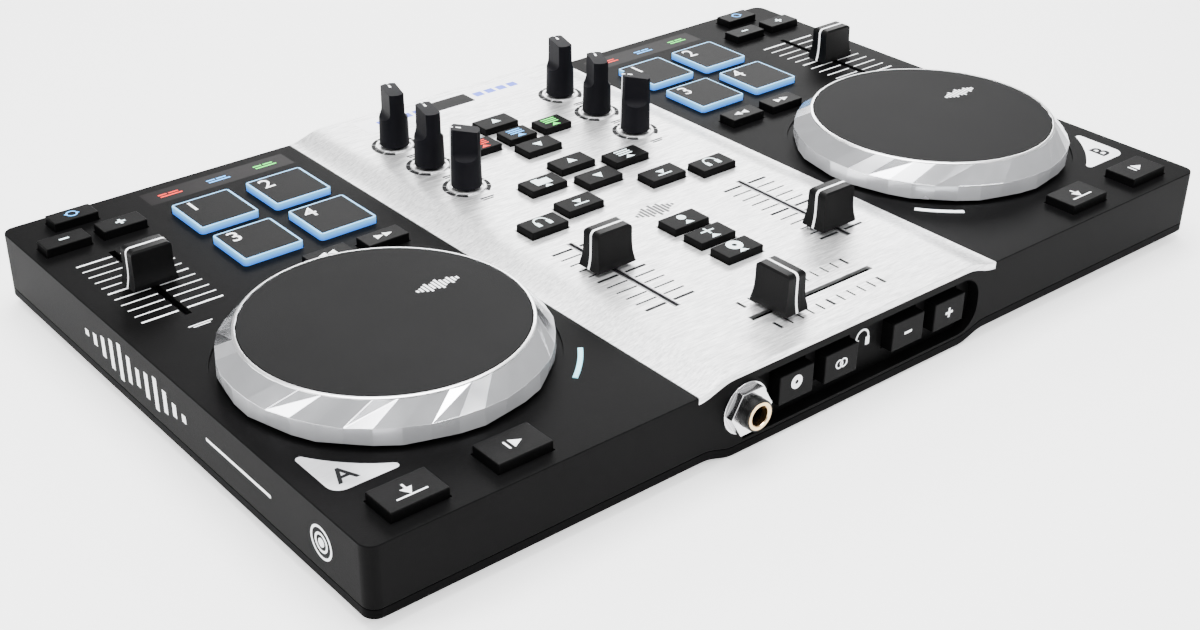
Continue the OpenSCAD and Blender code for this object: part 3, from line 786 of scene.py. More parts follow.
@dataclass
class Studio:
    """The camera, the soft lights and the pale floor.

    The camera's place is measured from the middle of the case's underside, in millimetres.
    """

    lens: float = 51.3
    shift: tuple[float, float] = (0.0363, -0.0069)
    place: tuple[float, float, float] = (-335.0, -384.1, 273.5)
    yaw: float = 38.70
    pitch: float = 29.52

    def camera(self) -> None:
        """Set the camera where the object is seen from."""
        bpy.ops.object.camera_add(location=[c * MM for c in self.place],
                                  rotation=(math.radians(90.0 - self.pitch), 0.0, -math.radians(self.yaw)))
        camera = bpy.context.object
        camera.data.lens = self.lens
        camera.data.sensor_width = 36.0
        camera.data.shift_x, camera.data.shift_y = self.shift
        camera.data.clip_start, camera.data.clip_end = 0.01, 50.0
        bpy.context.scene.camera = camera

    def lamp(self, name: str, place: Sequence[float], target: Sequence[float], size: tuple[float, float],
             power: float, colour: Colour = (1.0, 1.0, 1.0)) -> None:
        """A rectangular soft light that faces a target.

        Args:
            name: The light's name.
            place: Where it stands, in metres.
            target: The point that it faces.
            size: Its width and height, in metres.
            power: Its power, in watts.
            colour: Its colour.
        """
        bpy.ops.object.light_add(type="AREA", location=place)
        light = bpy.context.object
        light.name = name
        light.data.shape = "RECTANGLE"
        light.data.size, light.data.size_y = size
        light.data.energy = power
        light.data.color = colour
        light.rotation_euler = (Vector(target) - Vector(place)).to_track_quat("-Z", "Y").to_euler()

    def lights(self) -> None:
        """Light the object as on a product table."""
        self.lamp("top_softbox", (0.0, 0.1, 1.1), (0, 0, 0), (1.0, 0.8), 34.0)
        self.lamp("back_strip", (0.85, 0.95, 0.62), (0.1, 0, 0), (1.1, 0.35), 16.0)
        self.lamp("left_strip", (-0.95, 0.25, 0.6), (-0.1, 0, 0), (0.22, 0.9), 7.0)
        self.lamp("front_strip", (0.15, -0.95, 0.75), (0, 0, 0), (0.7, 0.16), 9.0)
        self.lamp("camera_strip", (-0.75, -0.62, 0.95), (-0.1, -0.1, 0), (0.14, 0.6), 7.0)

    def world(self) -> None:
        """Fill the surroundings with an even pale light."""
        world = bpy.data.worlds.new("studio_world")
        world.use_nodes = True
        background = world.node_tree.nodes["Background"]
        background.inputs["Color"].default_value = (1.0, 1.0, 1.0, 1.0)
        background.inputs["Strength"].default_value = 0.7
        bpy.context.scene.world = world

    def floor(self) -> None:
        """Lay the plain pale floor."""
        deselect_all()
        bpy.ops.mesh.primitive_plane_add(size=12.0, location=(0, 0, 0))
        floor = bpy.context.object
        floor.name = "studio_floor"
        graph = NodeGraph("floor_white")
        graph.set(Roughness=0.6, Base_Color=(0.93, 0.93, 0.93, 1.0), Emission_Strength=0.9,
                  Emission_Color=(1.0, 1.0, 1.0, 1.0))
        floor.data.materials.append(graph.material)

    def build(self) -> None:
        """Set up the whole studio."""
        self.camera()
        self.lights()
        self.world()
        self.floor()
        LOG.info("studio ready")


# ---- The case ----


@dataclass
class Case:
    """The two shells, what shows on their sides, and what is under and inside them.

    The side's marks are bars of several heights, then a line, then a disc near the front.
    """

    finishes: Finishes
    edge: float = 0.3
    foot_edge: float = 0.5
    seam: float = 3.0
    belly: float = 2.6
    belly_flat: float = 48.0
    belly_edge: float = 60.0
    mark_height: float = 15.5
    bar_heights: tuple[float, ...] = (2.0, 4.0, 7.0, 10.0, 12.5, 9.0, 6.0, 8.5, 11.0, 7.5, 4.5, 2.5)
    bar_first: float = 46.0
    bar_pitch: float = 5.5
    bar_wide: float = 2.2
    line_at: float = -44.0
    line_long: float = 34.0
    disc_from_front: float = 21.0
    disc_rings: tuple[tuple[float, float], ...] = ((4.6, 0.7), (2.6, 0.7), (0.7, 1.2))
    ink: float = 0.12

    def underside(self, x: float) -> float:
        """Height of the case's underside.

        Args:
            x: Distance from the centre line, in metres.

        Returns:
            The height, in metres.
        """
        part = (abs(x) / MM - self.belly_flat) / (self.belly_edge - self.belly_flat)
        fade = (1.0 - math.cos(math.pi * min(1.0, max(0.0, part)))) / 2.0
        edge = corners("bottom_shell")[0].z + self.belly * MM
        return edge - self.belly * MM * (1.0 - fade)

    def rim_rounded(self, piece: Piece) -> Piece:
        """Round the long edges that run round a shell: its foot, its seam and the deck's rim.

        Args:
            piece: The shell.

        Returns:
            The same piece.
        """
        low, high = corners("bottom_shell")
        top = corners("deck_letter_plates")[1].z
        reach = 4.0 * MM

        def outside(place: Vector) -> bool:
            """Whether a point lies on the case's outline, seen from above.

            Args:
                place: The point.

            Returns:
                True on the outline.
            """
            dx = max(0.0, abs(place.x) - (high.x - reach))
            dy = max(0.0, abs(place.y - (low.y + high.y) / 2) - ((high.y - low.y) / 2 - reach))
            return math.hypot(dx, dy) > reach - 0.02 * MM

        def level(place: Vector) -> bool:
            """Whether a point is as high as the foot, the seam or the deck's rim."""
            foot = self.underside(place.x)
            return min(abs(place.z - z) for z in (foot, foot + self.seam * MM, top)) < 0.03 * MM

        def chosen(a: Vector, b: Vector) -> bool:
            """Whether the edge between two points is one of the long edges."""
            return outside(a) and outside(b) and level(a) and level(b) and abs(a.z - b.z) < 1.5 * MM

        with editing(piece, Pick.EDGES, chosen):
            bpy.ops.mesh.bevel(offset=self.edge * MM, segments=3, affect="EDGES")
        make_active(piece)
        bpy.ops.object.shade_smooth_by_angle(angle=math.radians(35.0))
        weighted = piece.modifiers.new("flat faces", "WEIGHTED_NORMAL")
        weighted.keep_sharp = True
        bpy.ops.object.modifier_apply(modifier=weighted.name)
        return piece

    def shells(self) -> None:
        """Round the shells' edges and dress them."""
        dress(self.rim_rounded(refined("top_shell", "top_shell_moulding", 0.0)), self.finishes.deck,
              "case")
        dress(self.rim_rounded(refined("bottom_shell", "bottom_shell_moulding", 0.0)), self.finishes.base,
              "case")

    def inside(self) -> None:
        """Dress the pieces that keep their CAD shape."""
        kept = {
            "circuit_boards": self.finishes.board, "rotary_potentiometers": self.finishes.pot,
            "slide_potentiometers": self.finishes.pot, "wheel_bearings": self.finishes.acetal,
            "case_screws": self.finishes.screw, "usb_socket": self.finishes.tin,
            "line_output_sockets": self.finishes.nickel, "headphone_socket": self.finishes.thread,
            "light_windows": self.finishes.window,
        }
        for node, finish in kept.items():
            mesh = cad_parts[node].data
            mesh.materials.clear()
            mesh.materials.append(finish)

    def feet(self) -> None:
        """Round the rubber feet."""
        dress(refined("rubber_feet", "rubber_foot_pads", self.foot_edge, 3), self.finishes.foot,
              "case")

    def side_mark(self) -> None:
        """A plain level-meter mark on the left side, in place of any name."""
        low, high = corners("top_shell")
        centre = Vector((low.x, (low.y + high.y) / 2, self.mark_height * MM))
        bars = [block(f"bar_{number}", stand(centre, y=self.bar_first - number * self.bar_pitch),
                      (self.ink, self.bar_wide, height), 0.04, 1)
                for number, height in enumerate(self.bar_heights)]
        bars.append(block("line", stand(centre, y=self.line_at), (self.ink, self.line_long, 1.0), 0.04, 1))
        dress(join("side_level_mark", bars), self.finishes.white, "case")
        rings = [arc_bar("ring", (0, 0, 0), radius, width, self.ink, 0.0, 359.0)
                 for radius, width in self.disc_rings]
        disc = join("side_disc_mark", rings)
        disc.rotation_euler = (math.pi / 2, 0.0, -math.pi / 2)
        disc.location = (low.x + self.ink / 3 * MM, low.y + self.disc_from_front * MM, centre.z)
        dress(settle(disc), self.finishes.white, "case")

    def build(self) -> None:
        """Make everything that belongs to the case."""
        self.shells()
        self.inside()
        self.feet()
        self.side_mark()
        LOG.info("case ready")


# ---- The mixer section ----


@dataclass
class Scale:
    """Tick lines beside a fader's slot."""

    ticks: int = 11
    length: float = 43.4
    inner: float = 1.5
    outer: float = 9.4
    thin: float = 0.6
    thick: float = 1.0
    height: float = 0.12

    def lines(self, centre: Vector, along_x: bool) -> list[Piece]:
        """Make the ticks.

        Args:
            centre: Middle of the slot, on the surface.
            along_x: True if the slot runs along X.

        Returns:
            The ticks.
        """
        made = []
        for number in range(self.ticks):
            offset = self.length * (number / (self.ticks - 1) - 0.5)
            width = self.thick if number in (0, self.ticks // 2, self.ticks - 1) else self.thin
            for side in (-1, 1):
                reach = side * (self.inner + self.outer) / 2
                long = self.outer - self.inner
                if along_x:
                    place, size = stand(centre, offset, reach), (width, long, self.height)
                else:
                    place, size = stand(centre, reach, offset), (long, width, self.height)
                made.append(block("tick", place, size))
        return made


@dataclass
class MixerPlate:
    """The folded brushed plate with its print, display and collars."""

    finishes: Finishes
    edge: float = 0.18
    ring_radius: float = 7.45
    ring_width: float = 1.4
    ring_segments: int = 9
    ring_start: float = -58.5
    ring_sweep: float = 300.0
    ring_break: float = 4.0
    label_lines: tuple[tuple[float, ...], ...] = ((0.6, -10.6, 5.4, 0.7), (0.2, -11.8, 4.2, 0.6))
    volume_x: float = 36.3
    volume_y: float = -42.7
    cross_y: float = -86.65
    print_height: float = 0.12
    emblem_y: float = -16.8
    emblem_pitch: float = 1.5
    emblem_bars: tuple[float, ...] = (1.5, 3.0, 5.0, 7.0, 4.5, 8.0, 5.5, 7.0, 4.0, 2.5, 1.2)
    inset_depth: float = 0.5
    level_step: float = 5.2

    def plate(self) -> None:
        """The plate itself."""
        dress(refined("mixer_plate", "mixer_plate_sheet", self.edge, 2, 20.0), self.finishes.plate,
              "case")

    def knob_ring(self, node: str) -> Piece:
        """The segmented ring printed round one knob.

        Args:
            node: The knob's CAD node.

        Returns:
            The ring.
        """
        centre = Vector((middle(node).x, middle(node).y, self.surface))
        step = self.ring_sweep / self.ring_segments
        parts = [arc_bar("segment", centre, self.ring_radius, self.ring_width, self.print_height,
                         self.ring_start + step * number, step - self.ring_break)
                 for number in range(self.ring_segments)]
        for x, y, long, wide in self.label_lines:
            parts.append(block("label", stand(centre, x, y), (long, wide, self.print_height)))
        return join(f"{node}_print", parts)

    @property
    def surface(self) -> float:
        """Height of the plate's flat, in metres: the knobs' collars stand half a millimetre above it."""
        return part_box("mixer_plate")[1][2] - 0.5 * MM

    def printed(self) -> None:
        """Scales, rings and the small emblem."""
        top = self.surface
        for side, x in (("left", -self.volume_x), ("right", self.volume_x)):
            ticks = Scale().lines(Vector((x * MM, self.volume_y * MM, top)), along_x=False)
            dress(join(f"volume_scale_{side}", ticks), self.finishes.dark_ink, "case")
        cross = Scale(inner=5.6, outer=9.4).lines(Vector((0.0, self.cross_y * MM, top)), along_x=True)
        dress(join("crossfader_scale", cross), self.finishes.dark_ink, "case")
        for side in ("left", "right"):
            for row in ("treble", "mid", "bass"):
                dress(self.knob_ring(f"{row}_knob_{side}"), self.finishes.dark_ink, "case")
        first = -(len(self.emblem_bars) // 2)
        bars = [block("bar", ((first + number) * self.emblem_pitch * MM, self.emblem_y * MM, top),
                      (0.9, height, self.print_height)) for number, height in enumerate(self.emblem_bars)]
        dress(join("plate_level_mark", bars), self.finishes.grey_ink, "case")

    def display(self) -> None:
        """The display panel with its dark window and level lamps, and the volume slots' liners."""
        panel = block("display_panel", (0.0, 97.2 * MM, self.surface), (76.0, 11.6, 0.06), 0.02, 1)
        dress(panel, self.finishes.panel, "case")
        inset = self.surface - 0.2 * MM
        for x in (-self.volume_x, self.volume_x):
            strips = [block("strip", ((x + side * 0.88) * MM, self.volume_y * MM, inset),
                            (0.42, 50.2, self.inset_depth)) for side in (-1, 1)]
            dress(join("volume_slot_liner", strips), self.finishes.rail, "case")
        window = block("display_glass", (0.0, 97.3 * MM, inset), (18.6, 8.0, self.inset_depth), 0.1)
        dress(window, self.finishes.glass, "case")
        lamps = [block("lamp", (side * (13.6 + self.level_step * n) * MM, 97.5 * MM, inset),
                       (3.9, 3.7, self.inset_depth), 0.1) for side in (-1, 1) for n in range(4)]
        dress(join("level_lamps", lamps), self.finishes.level, "case")

    def build(self) -> None:
        """Make the plate and what is on it."""
        self.plate()
        self.printed()
        self.display()
        LOG.info("mixer plate ready")


@dataclass
class Knob:
    """A tall grip knob: a skirt that is scooped into a flat blade with a white pointer."""

    finishes: Finishes
    edge: float = 0.7
    radius: float = 5.0
    height: float = 21.5
    pointer: float = 0.85

    def build(self, node: str, turn: float) -> None:
        """Make one knob.

        Args:
            node: Its CAD node, which is also its body.
            turn: Where its pointer stands, in degrees from straight back.
        """
        dress(refined(node, f"{node}_grip", self.edge, 3, 30.0), self.finishes.knob, node)
        low, high = corners(node)
        centre = Vector(((low.x + high.x) / 2, (low.y + high.y) / 2, high.z))
        upright = block(f"{node}_pointer", (0.0, (self.radius - 0.22) * MM, -self.height / 2 * MM),
                        (self.pointer, 0.7, self.height - 2.0), 0.12)
        with editing(upright, Pick.FACES, lambda centre, normal: centre.z < -0.75 * self.height * MM):
            bpy.ops.transform.translate(value=(0, 0.3 * MM, 0))
        top = block("top_mark", (0.0, (self.radius - 1.75) * MM, -0.22 * MM), (self.pointer, 3.8, 0.6), 0.12)
        with editing(top, Pick.FACES, lambda centre, normal: centre.y < (self.radius - 3.4) * MM):
            bpy.ops.transform.translate(value=(0, 0, -0.27 * MM))
        line = move_to(join(f"{node}_pointer", [upright, top]), centre, turn)
        dress(line, self.finishes.white, node)


@dataclass
class FaderCap:
    """A scooped fader cap with a white line over it."""

    finishes: Finishes
    edge: float = 0.5
    height: float = 12.6
    line: float = 0.9
    proud: float = 0.06

    def keep(self, piece: Piece, point: Vector, normal: Vector) -> None:
        """Cut a piece by a plane and keep the side that the plane's normal points away from.

        Args:
            piece: The piece.
            point: A point on the plane, in metres.
            normal: The plane's normal.
        """
        with editing(piece):
            bpy.ops.mesh.bisect(plane_co=point, plane_no=normal, use_fill=True, clear_outer=True)

    def build(self, node: str, along_x: bool = False) -> None:
        """Make one cap.

        Args:
            node: Its CAD node, which is also its body.
            along_x: True if the fader runs along X.
        """
        cap = refined(node, f"{node}_cap", self.edge, 3, 30.0)
        dress(cap, self.finishes.cap, node)
        top = middle(node)
        along = Vector((1, 0, 0)) if along_x else Vector((0, 1, 0))
        stripe = copied(cap, f"{node}_line")
        for side in (-1, 1):
            self.keep(stripe, top + along * side * self.line / 2 * MM, along * side)
        self.keep(stripe, stand(top, 0, 0, -self.height), Vector((0, 0, -1)))
        with editing(stripe):
            bpy.ops.transform.shrink_fatten(value=self.proud * MM)
        dress(stripe, self.finishes.white, node)


# ---- Keys and their marks ----


class Mark(Enum):
    """The plain signs on the keys."""

    CUE = "cue"
    PLAY = "play"
    REWIND = "rewind"
    FORWARD = "forward"
    PLUS = "plus"
    MINUS = "minus"
    SYNC = "sync"
    UP = "up"
    DOWN = "down"
    HEADPHONES = "headphones"
    FOLDER = "folder"
    LIST = "list"
    LOAD = "load"
    DOT = "dot"
    STAR = "star"
    DISC = "disc"
    MIX = "mix"


@dataclass
class MarkMaker:
    """Makes the plain signs as thin solids, flat on XY and centred on a point."""

    height: float = 0.12

    def bar(self, at: Vector, x: float, y: float, long: float, wide: float) -> Piece:
        """A straight stroke."""
        return block("stroke", stand(at, x, y), (long, wide, self.height))

    def arrow(self, at: Vector, x: float, y: float, radius: float, turn: float,
              squeeze: float = 1.0) -> Piece:
        """A three-cornered arrowhead."""
        return wedge("arrow", stand(at, x, y, -self.height / 2), radius, self.height, turn, squeeze)

    def arc(self, at: Vector, x: float, y: float, radius: float, width: float, start: float,
            sweep: float) -> Piece:
        """A curved stroke."""
        return arc_bar("arc", stand(at, x, y, -self.height / 2), radius, width, self.height, start, sweep)

    def parts(self, mark: Mark, at: Vector) -> list[Piece]:
        """The strokes of one sign.

        Args:
            mark: The sign.
            at: Its centre, on the key's top.

        Returns:
            Its strokes.
        """
        if mark is Mark.CUE:
            return [self.bar(at, 0, -2.2, 9.2, 0.55), self.bar(at, 0, 1.6, 0.6, 2.2),
                    self.arrow(at, 0, -0.1, 1.9, -90, 1.1)]
        if mark is Mark.PLAY:
            return [self.arrow(at, 0.6, 0, 2.2, 0, 1.0), self.bar(at, -1.9, 0, 0.6, 3.4)]
        if mark in (Mark.REWIND, Mark.FORWARD):
            turn = 180 if mark is Mark.REWIND else 0
            return [self.arrow(at, -1.7, 0, 2.0, turn, 0.8), self.arrow(at, 1.5, 0, 2.0, turn, 0.8)]
        if mark is Mark.PLUS:
            return [self.bar(at, 0, 0, 3.2, 0.8), self.bar(at, 0, 1.0, 0.8, 1.2),
                    self.bar(at, 0, -1.0, 0.8, 1.2)]
        if mark is Mark.MINUS:
            return [self.bar(at, 0, 0, 3.2, 0.8)]
        if mark is Mark.SYNC:
            return [self.arc(at, 0, 0, 1.7, 0.5, 20, 140), self.arc(at, 0, 0, 1.7, 0.5, 200, 140),
                    self.arrow(at, -1.75, 0.2, 0.8, -80), self.arrow(at, 1.75, -0.2, 0.8, 100)]
        if mark in (Mark.UP, Mark.DOWN):
            return [self.arrow(at, 0, 0, 1.7, 90 if mark is Mark.UP else -90, 1.0)]
        if mark is Mark.HEADPHONES:
            return [self.arc(at, 0, 0.4, 1.9, 0.45, -10, 200), self.bar(at, -1.75, -0.9, 1.2, 2.0),
                    self.bar(at, 1.75, -0.9, 1.2, 2.0)]
        if mark is Mark.FOLDER:
            return [self.bar(at, 0, -0.3, 5.0, 3.0), self.bar(at, -1.4, 1.5, 2.2, 0.6),
                    self.arrow(at, 0, -3.0, 1.0, 90, 1.4)]
        if mark is Mark.LIST:
            lines = [self.bar(at, 0, y, 4.6, 0.5) for y in (1.6, 0.5, -0.6)]
            return lines + [self.arrow(at, 0, -2.4, 1.1, 90, 1.5)]
        if mark is Mark.LOAD:
            return [self.arrow(at, 0, 0.2, 1.3, -90, 1.2), self.bar(at, 0, -1.6, 4.6, 0.5)]
        if mark is Mark.DOT:
            return [self.arc(at, 0, 1.0, 0.62, 1.2, 0, 359), self.arrow(at, 0, -2.0, 1.1, 90, 1.5)]
        if mark is Mark.STAR:
            return [self.bar(at, 0, 1.0, 4.2, 0.5), self.bar(at, 0, 1.9, 0.5, 1.2),
                    self.bar(at, 0, 0.1, 0.5, 1.2), self.arrow(at, 0, -2.0, 1.1, 90, 1.5)]
        if mark is Mark.DISC:
            return [self.arc(at, 0, 0.9, 1.45, 1.5, 0, 359), self.arrow(at, 0, -2.3, 1.1, 90, 1.5)]
        return [self.arc(at, -0.9, 0, 1.3, 0.45, 0, 359), self.arc(at, 0.9, 0, 1.3, 0.45, 0, 359)]

    def make(self, name: str, mark: Mark, at: Vector, scale: float = 1.0) -> Piece:
        """One sign as one piece.

        Args:
            name: The piece's name.
            mark: The sign.
            at: Its centre, on the key's top.
            scale: How much larger it is than drawn.

        Returns:
            The new object.
        """
        piece = join(name, self.parts(mark, Vector()))
        piece.scale = (scale, scale, 1.0)
        settle(piece)
        return move_to(piece, at)


@dataclass
class KeySet:
    """The keys of the mixer plate: each CAD node is one rubber mat with one or more keys."""

    finishes: Finishes
    marks: MarkMaker = field(default_factory=MarkMaker)
    edge: float = 0.35
    sign_scale: float = 1.25

    def mat(self, node: str, signs: Sequence[tuple[Mark, float, float, str]]) -> None:
        """Make one mat with its signs.

        Args:
            node: Its CAD node, which is also its body.
            signs: Each sign with its place from the mat's middle, in millimetres, and its finish.
        """
        dress(refined(node, f"{node}_mat", self.edge, 3, 30.0), self.finishes.mat_key, node)
        centre = middle(node)
        for number, (mark, x, y, finish) in enumerate(signs):
            sign = self.marks.make(f"{node}_sign_{number + 1}", mark, stand(centre, x, y), self.sign_scale)
            dress(sign, getattr(self.finishes, finish), node)

    def build(self) -> None:
        """Make every key on the plate."""
        white = "lit_white"
        self.mat("mode_keys", [(Mark.LIST, -15.5, 0.5, "lit_red"), (Mark.LIST, 0, 0.5, "lit_blue"),
                               (Mark.LIST, 15.5, 0.5, "lit_green")])
        self.mat("page_keys", [(Mark.UP, 0, 12.45, white), (Mark.DOWN, 0, -12.45, white)])
        self.mat("scroll_keys", [(Mark.UP, 0, 7.25, white), (Mark.DOWN, 0, -7.25, white)])
        self.mat("browse_keys", [(Mark.FOLDER, -18, 0.6, white), (Mark.LIST, 18, 0.6, white)])
        self.mat("load_keys", [(Mark.LOAD, -18, 0.4, white), (Mark.LOAD, 18, 0.4, white)])
        self.mat("listen_keys", [(Mark.HEADPHONES, -36.5, 0.4, white), (Mark.HEADPHONES, 36.5, 0.4, white)])
        self.mat("record_keys", [(Mark.DOT, 0, 12.1, white), (Mark.STAR, 0, 0, white),
                                 (Mark.DISC, 0, -12.1, white)])
        LOG.info("mixer keys ready")


# ---- The decks ----


@dataclass
class Pad:
    """A performance pad: a dark top set in backlit silicone."""

    finishes: Finishes
    width: float = 21.0
    rim: float = 0.85
    top_thickness: float = 0.5
    edge: float = 0.35
    digit: float = 6.4

    def build(self, number: int, deck: str, glow: Material) -> None:
        """Make one pad.

        Args:
            number: Its digit.
            deck: The deck's name.
            glow: The finish of its lit body.
        """
        node = f"pad_{number}_{deck}"
        dress(refined(node, f"{node}_silicone", self.edge, 3, 30.0), glow, node)
        top = middle(node)
        side = self.width - 2 * self.rim
        plate = block(f"{node}_top", stand(top, 0, 0, self.top_thickness / 2 - 0.35),
                      (side, side, self.top_thickness), 0.14)
        dress(plate, self.finishes.pad_top, node)
        sign = lettering(f"{node}_digit", str(number), stand(top, -side / 2 + 4.4, side / 2 - 4.8, 0.12),
                         self.digit, 0.08, 0.04)
        dress(sign, self.finishes.white, node)


@dataclass
class JogWheel:
    """A jog wheel: a faceted chrome ring round a dark touch disc."""

    finishes: Finishes
    facets: int = 13
    steps: int = 3
    foot_radius: float = 47.6
    foot_height: float = 0.5
    crease_radius: float = 47.4
    crease_height: float = 5.9
    facet_top: float = 11.5
    lip_radius: float = 42.2
    lip_inner: float = 41.3
    disc_radius: float = 41.1
    height: float = 11.8
    turn: float = 22.0
    emblem_radius: float = 22.0

    @property
    def step(self) -> float:
        """Angle between two vertices of the ring, in degrees."""
        return 360.0 / self.facets / self.steps

    def ring(self, node: str, centre: Vector, body: str) -> None:
        """The chrome ring and the bright lip on top of it; the ring's upper facets carry a darker chrome than
        its lower band, as painted shade.

        Args:
            node: Its CAD node.
            centre: The wheel's axis at the deck's surface.
            body: The body that it rides on.
        """
        profile = [Ring(self.foot_radius, self.foot_height), Ring(self.crease_radius, self.crease_height),
                   Ring(self.lip_radius - 0.1, self.facet_top, self.step),
                   Ring(self.lip_inner, self.facet_top), Ring(self.lip_inner, 8.8), Ring(37.2, 8.8),
                   Ring(37.2, 7.3), Ring(41.3, 7.3), Ring(45.5, 5.3), Ring(45.5, self.foot_height)]
        piece = turned(f"{node}_facets", profile, self.facets * self.steps, hollow=True, smooth=6.0)
        self.scale_ring(piece, 0, self.crease_height, self.crease_radius, 0.35)
        self.scale_ring(piece, 0, self.foot_height, self.foot_radius, -0.75)
        self.scale_ring(piece, 1, self.foot_height, self.foot_radius, -0.35)
        self.cut_facet(piece, self.crease_height, self.facet_top, 0.5 * self.step, 1.5 * self.step)
        self.cut_facet(piece, self.foot_height, self.crease_height, -0.5 * self.step, -0.5 * self.step)
        finish_edges(piece, 0.12, 2, 5.0)
        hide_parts(node)
        dress(move_to(piece, centre, self.turn), self.finishes.chrome, body)
        piece.data.materials.append(self.finishes.band)
        # Faces above the crease get the darker chrome, which is painted shade; faces below it get the band's
        # chrome.
        crease = centre.z + self.crease_height * MM
        for polygon in piece.data.polygons:
            polygon.material_index = 1 if polygon.center.z < crease else 0
        lip = turned(f"{node}_lip", [Ring(self.lip_inner, 11.0), Ring(self.lip_radius, 11.0),
                                     Ring(self.lip_radius, self.height - 0.25),
                                     Ring(self.lip_radius - 0.3, self.height),
                                     Ring(self.lip_inner, self.height)], 144, hollow=True, smooth=50.0)
        dress(move_to(lip, centre), self.finishes.lip, body)

    def phase(self, place: Vector) -> float:
        """Angle of a point past the last facet's first vertex, in degrees."""
        pitch = self.steps * self.step
        return (math.degrees(math.atan2(place.y, place.x)) - 90.0 + 0.5 * self.step) % pitch - 0.5 * self.step

    def scale_ring(self, piece: Piece, number: int, height: float, radius: float,
                   rise: float) -> None:
        """Move one vertex of every facet away from the axis.

        Args:
            piece: The ring.
            number: Which vertex of each facet.
            height: Height of the vertices.
            radius: Their radius.
            rise: How far they move out; inwards when negative.
        """
        def chosen(place: Vector) -> bool:
            """Whether a vertex belongs to the ring of corners that moves.

            Args:
                place: The vertex.

            Returns:
                True when it moves.
            """
            level = abs(place.z - height * MM) < 0.05 * MM
            outside = place.xy.length > (radius - 0.6) * MM
            return level and outside and abs(self.phase(place) - number * self.step) < 1.0

        scale = 1.0 + rise / radius
        with editing(piece, Pick.VERTICES, chosen):
            bpy.ops.transform.resize(value=(scale, scale, 1.0), center_override=(0, 0, 0))

    def cut_facet(self, piece: Piece, low: float, high: float, first: float, last: float) -> None:
        """Split one four-sided face of every facet along its longer diagonal.

        Args:
            piece: The ring.
            low: Height of the band's foot.
            high: Height of the band's top.
            first: Lowest angle of the faces' centres past the facet's first vertex, in degrees.
            last: Highest angle of them.
        """
        middle_height = (low + high) / 2 * MM

        def chosen(centre: Vector, normal: Vector) -> bool:
            """Whether a face is one of those to split."""
            level = abs(centre.z - middle_height) < 0.2 * MM and normal.xy.dot(centre.xy) > 0
            return level and first - 2.0 < self.phase(centre) < last + 2.0

        with editing(piece, Pick.FACES, chosen):
            bpy.ops.mesh.quads_convert_to_tris(quad_method="LONGEST_DIAGONAL")

    def disc(self, node: str, centre: Vector, body: str) -> None:
        """The touch disc with its small mark.

        Args:
            node: Its CAD node.
            centre: The wheel's axis at the deck's surface.
            body: The body that it rides on.
        """
        profile = [Ring(4.0, -13.0), Ring(4.0, 1.6), Ring(10.0, 1.6), Ring(10.0, 8.8),
                   Ring(self.disc_radius, 8.8), Ring(self.disc_radius, self.height - 0.25),
                   Ring(self.disc_radius - 0.25, self.height - 0.02)]
        piece = turned(f"{node}_face", profile, 128)
        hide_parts(node)
        dress(move_to(piece, centre), self.finishes.disc, body)
        heights = (1.2, 2.2, 3.6, 5.0, 3.0, 4.4, 5.8, 3.8, 2.6, 4.0, 2.4, 1.4)
        at = stand(centre, self.emblem_radius, 6.0, self.height)
        bars = [block("bar", stand(at, (n - 5.5) * 1.25), (0.75, h, 0.08)) for n, h in enumerate(heights)]
        dress(join(f"{node}_mark", bars), self.finishes.white, body)

    def build(self, deck: str) -> None:
        """Make one wheel.

        Args:
            deck: The deck's name.
        """
        node, body = f"wheel_ring_{deck}", f"jog_wheel_{deck}"
        low, high = corners(node)
        centre = Vector(((low.x + high.x) / 2, (low.y + high.y) / 2, low.z - 0.5 * MM))
        self.ring(node, centre, body)
        self.disc(f"wheel_disc_{deck}", centre, body)


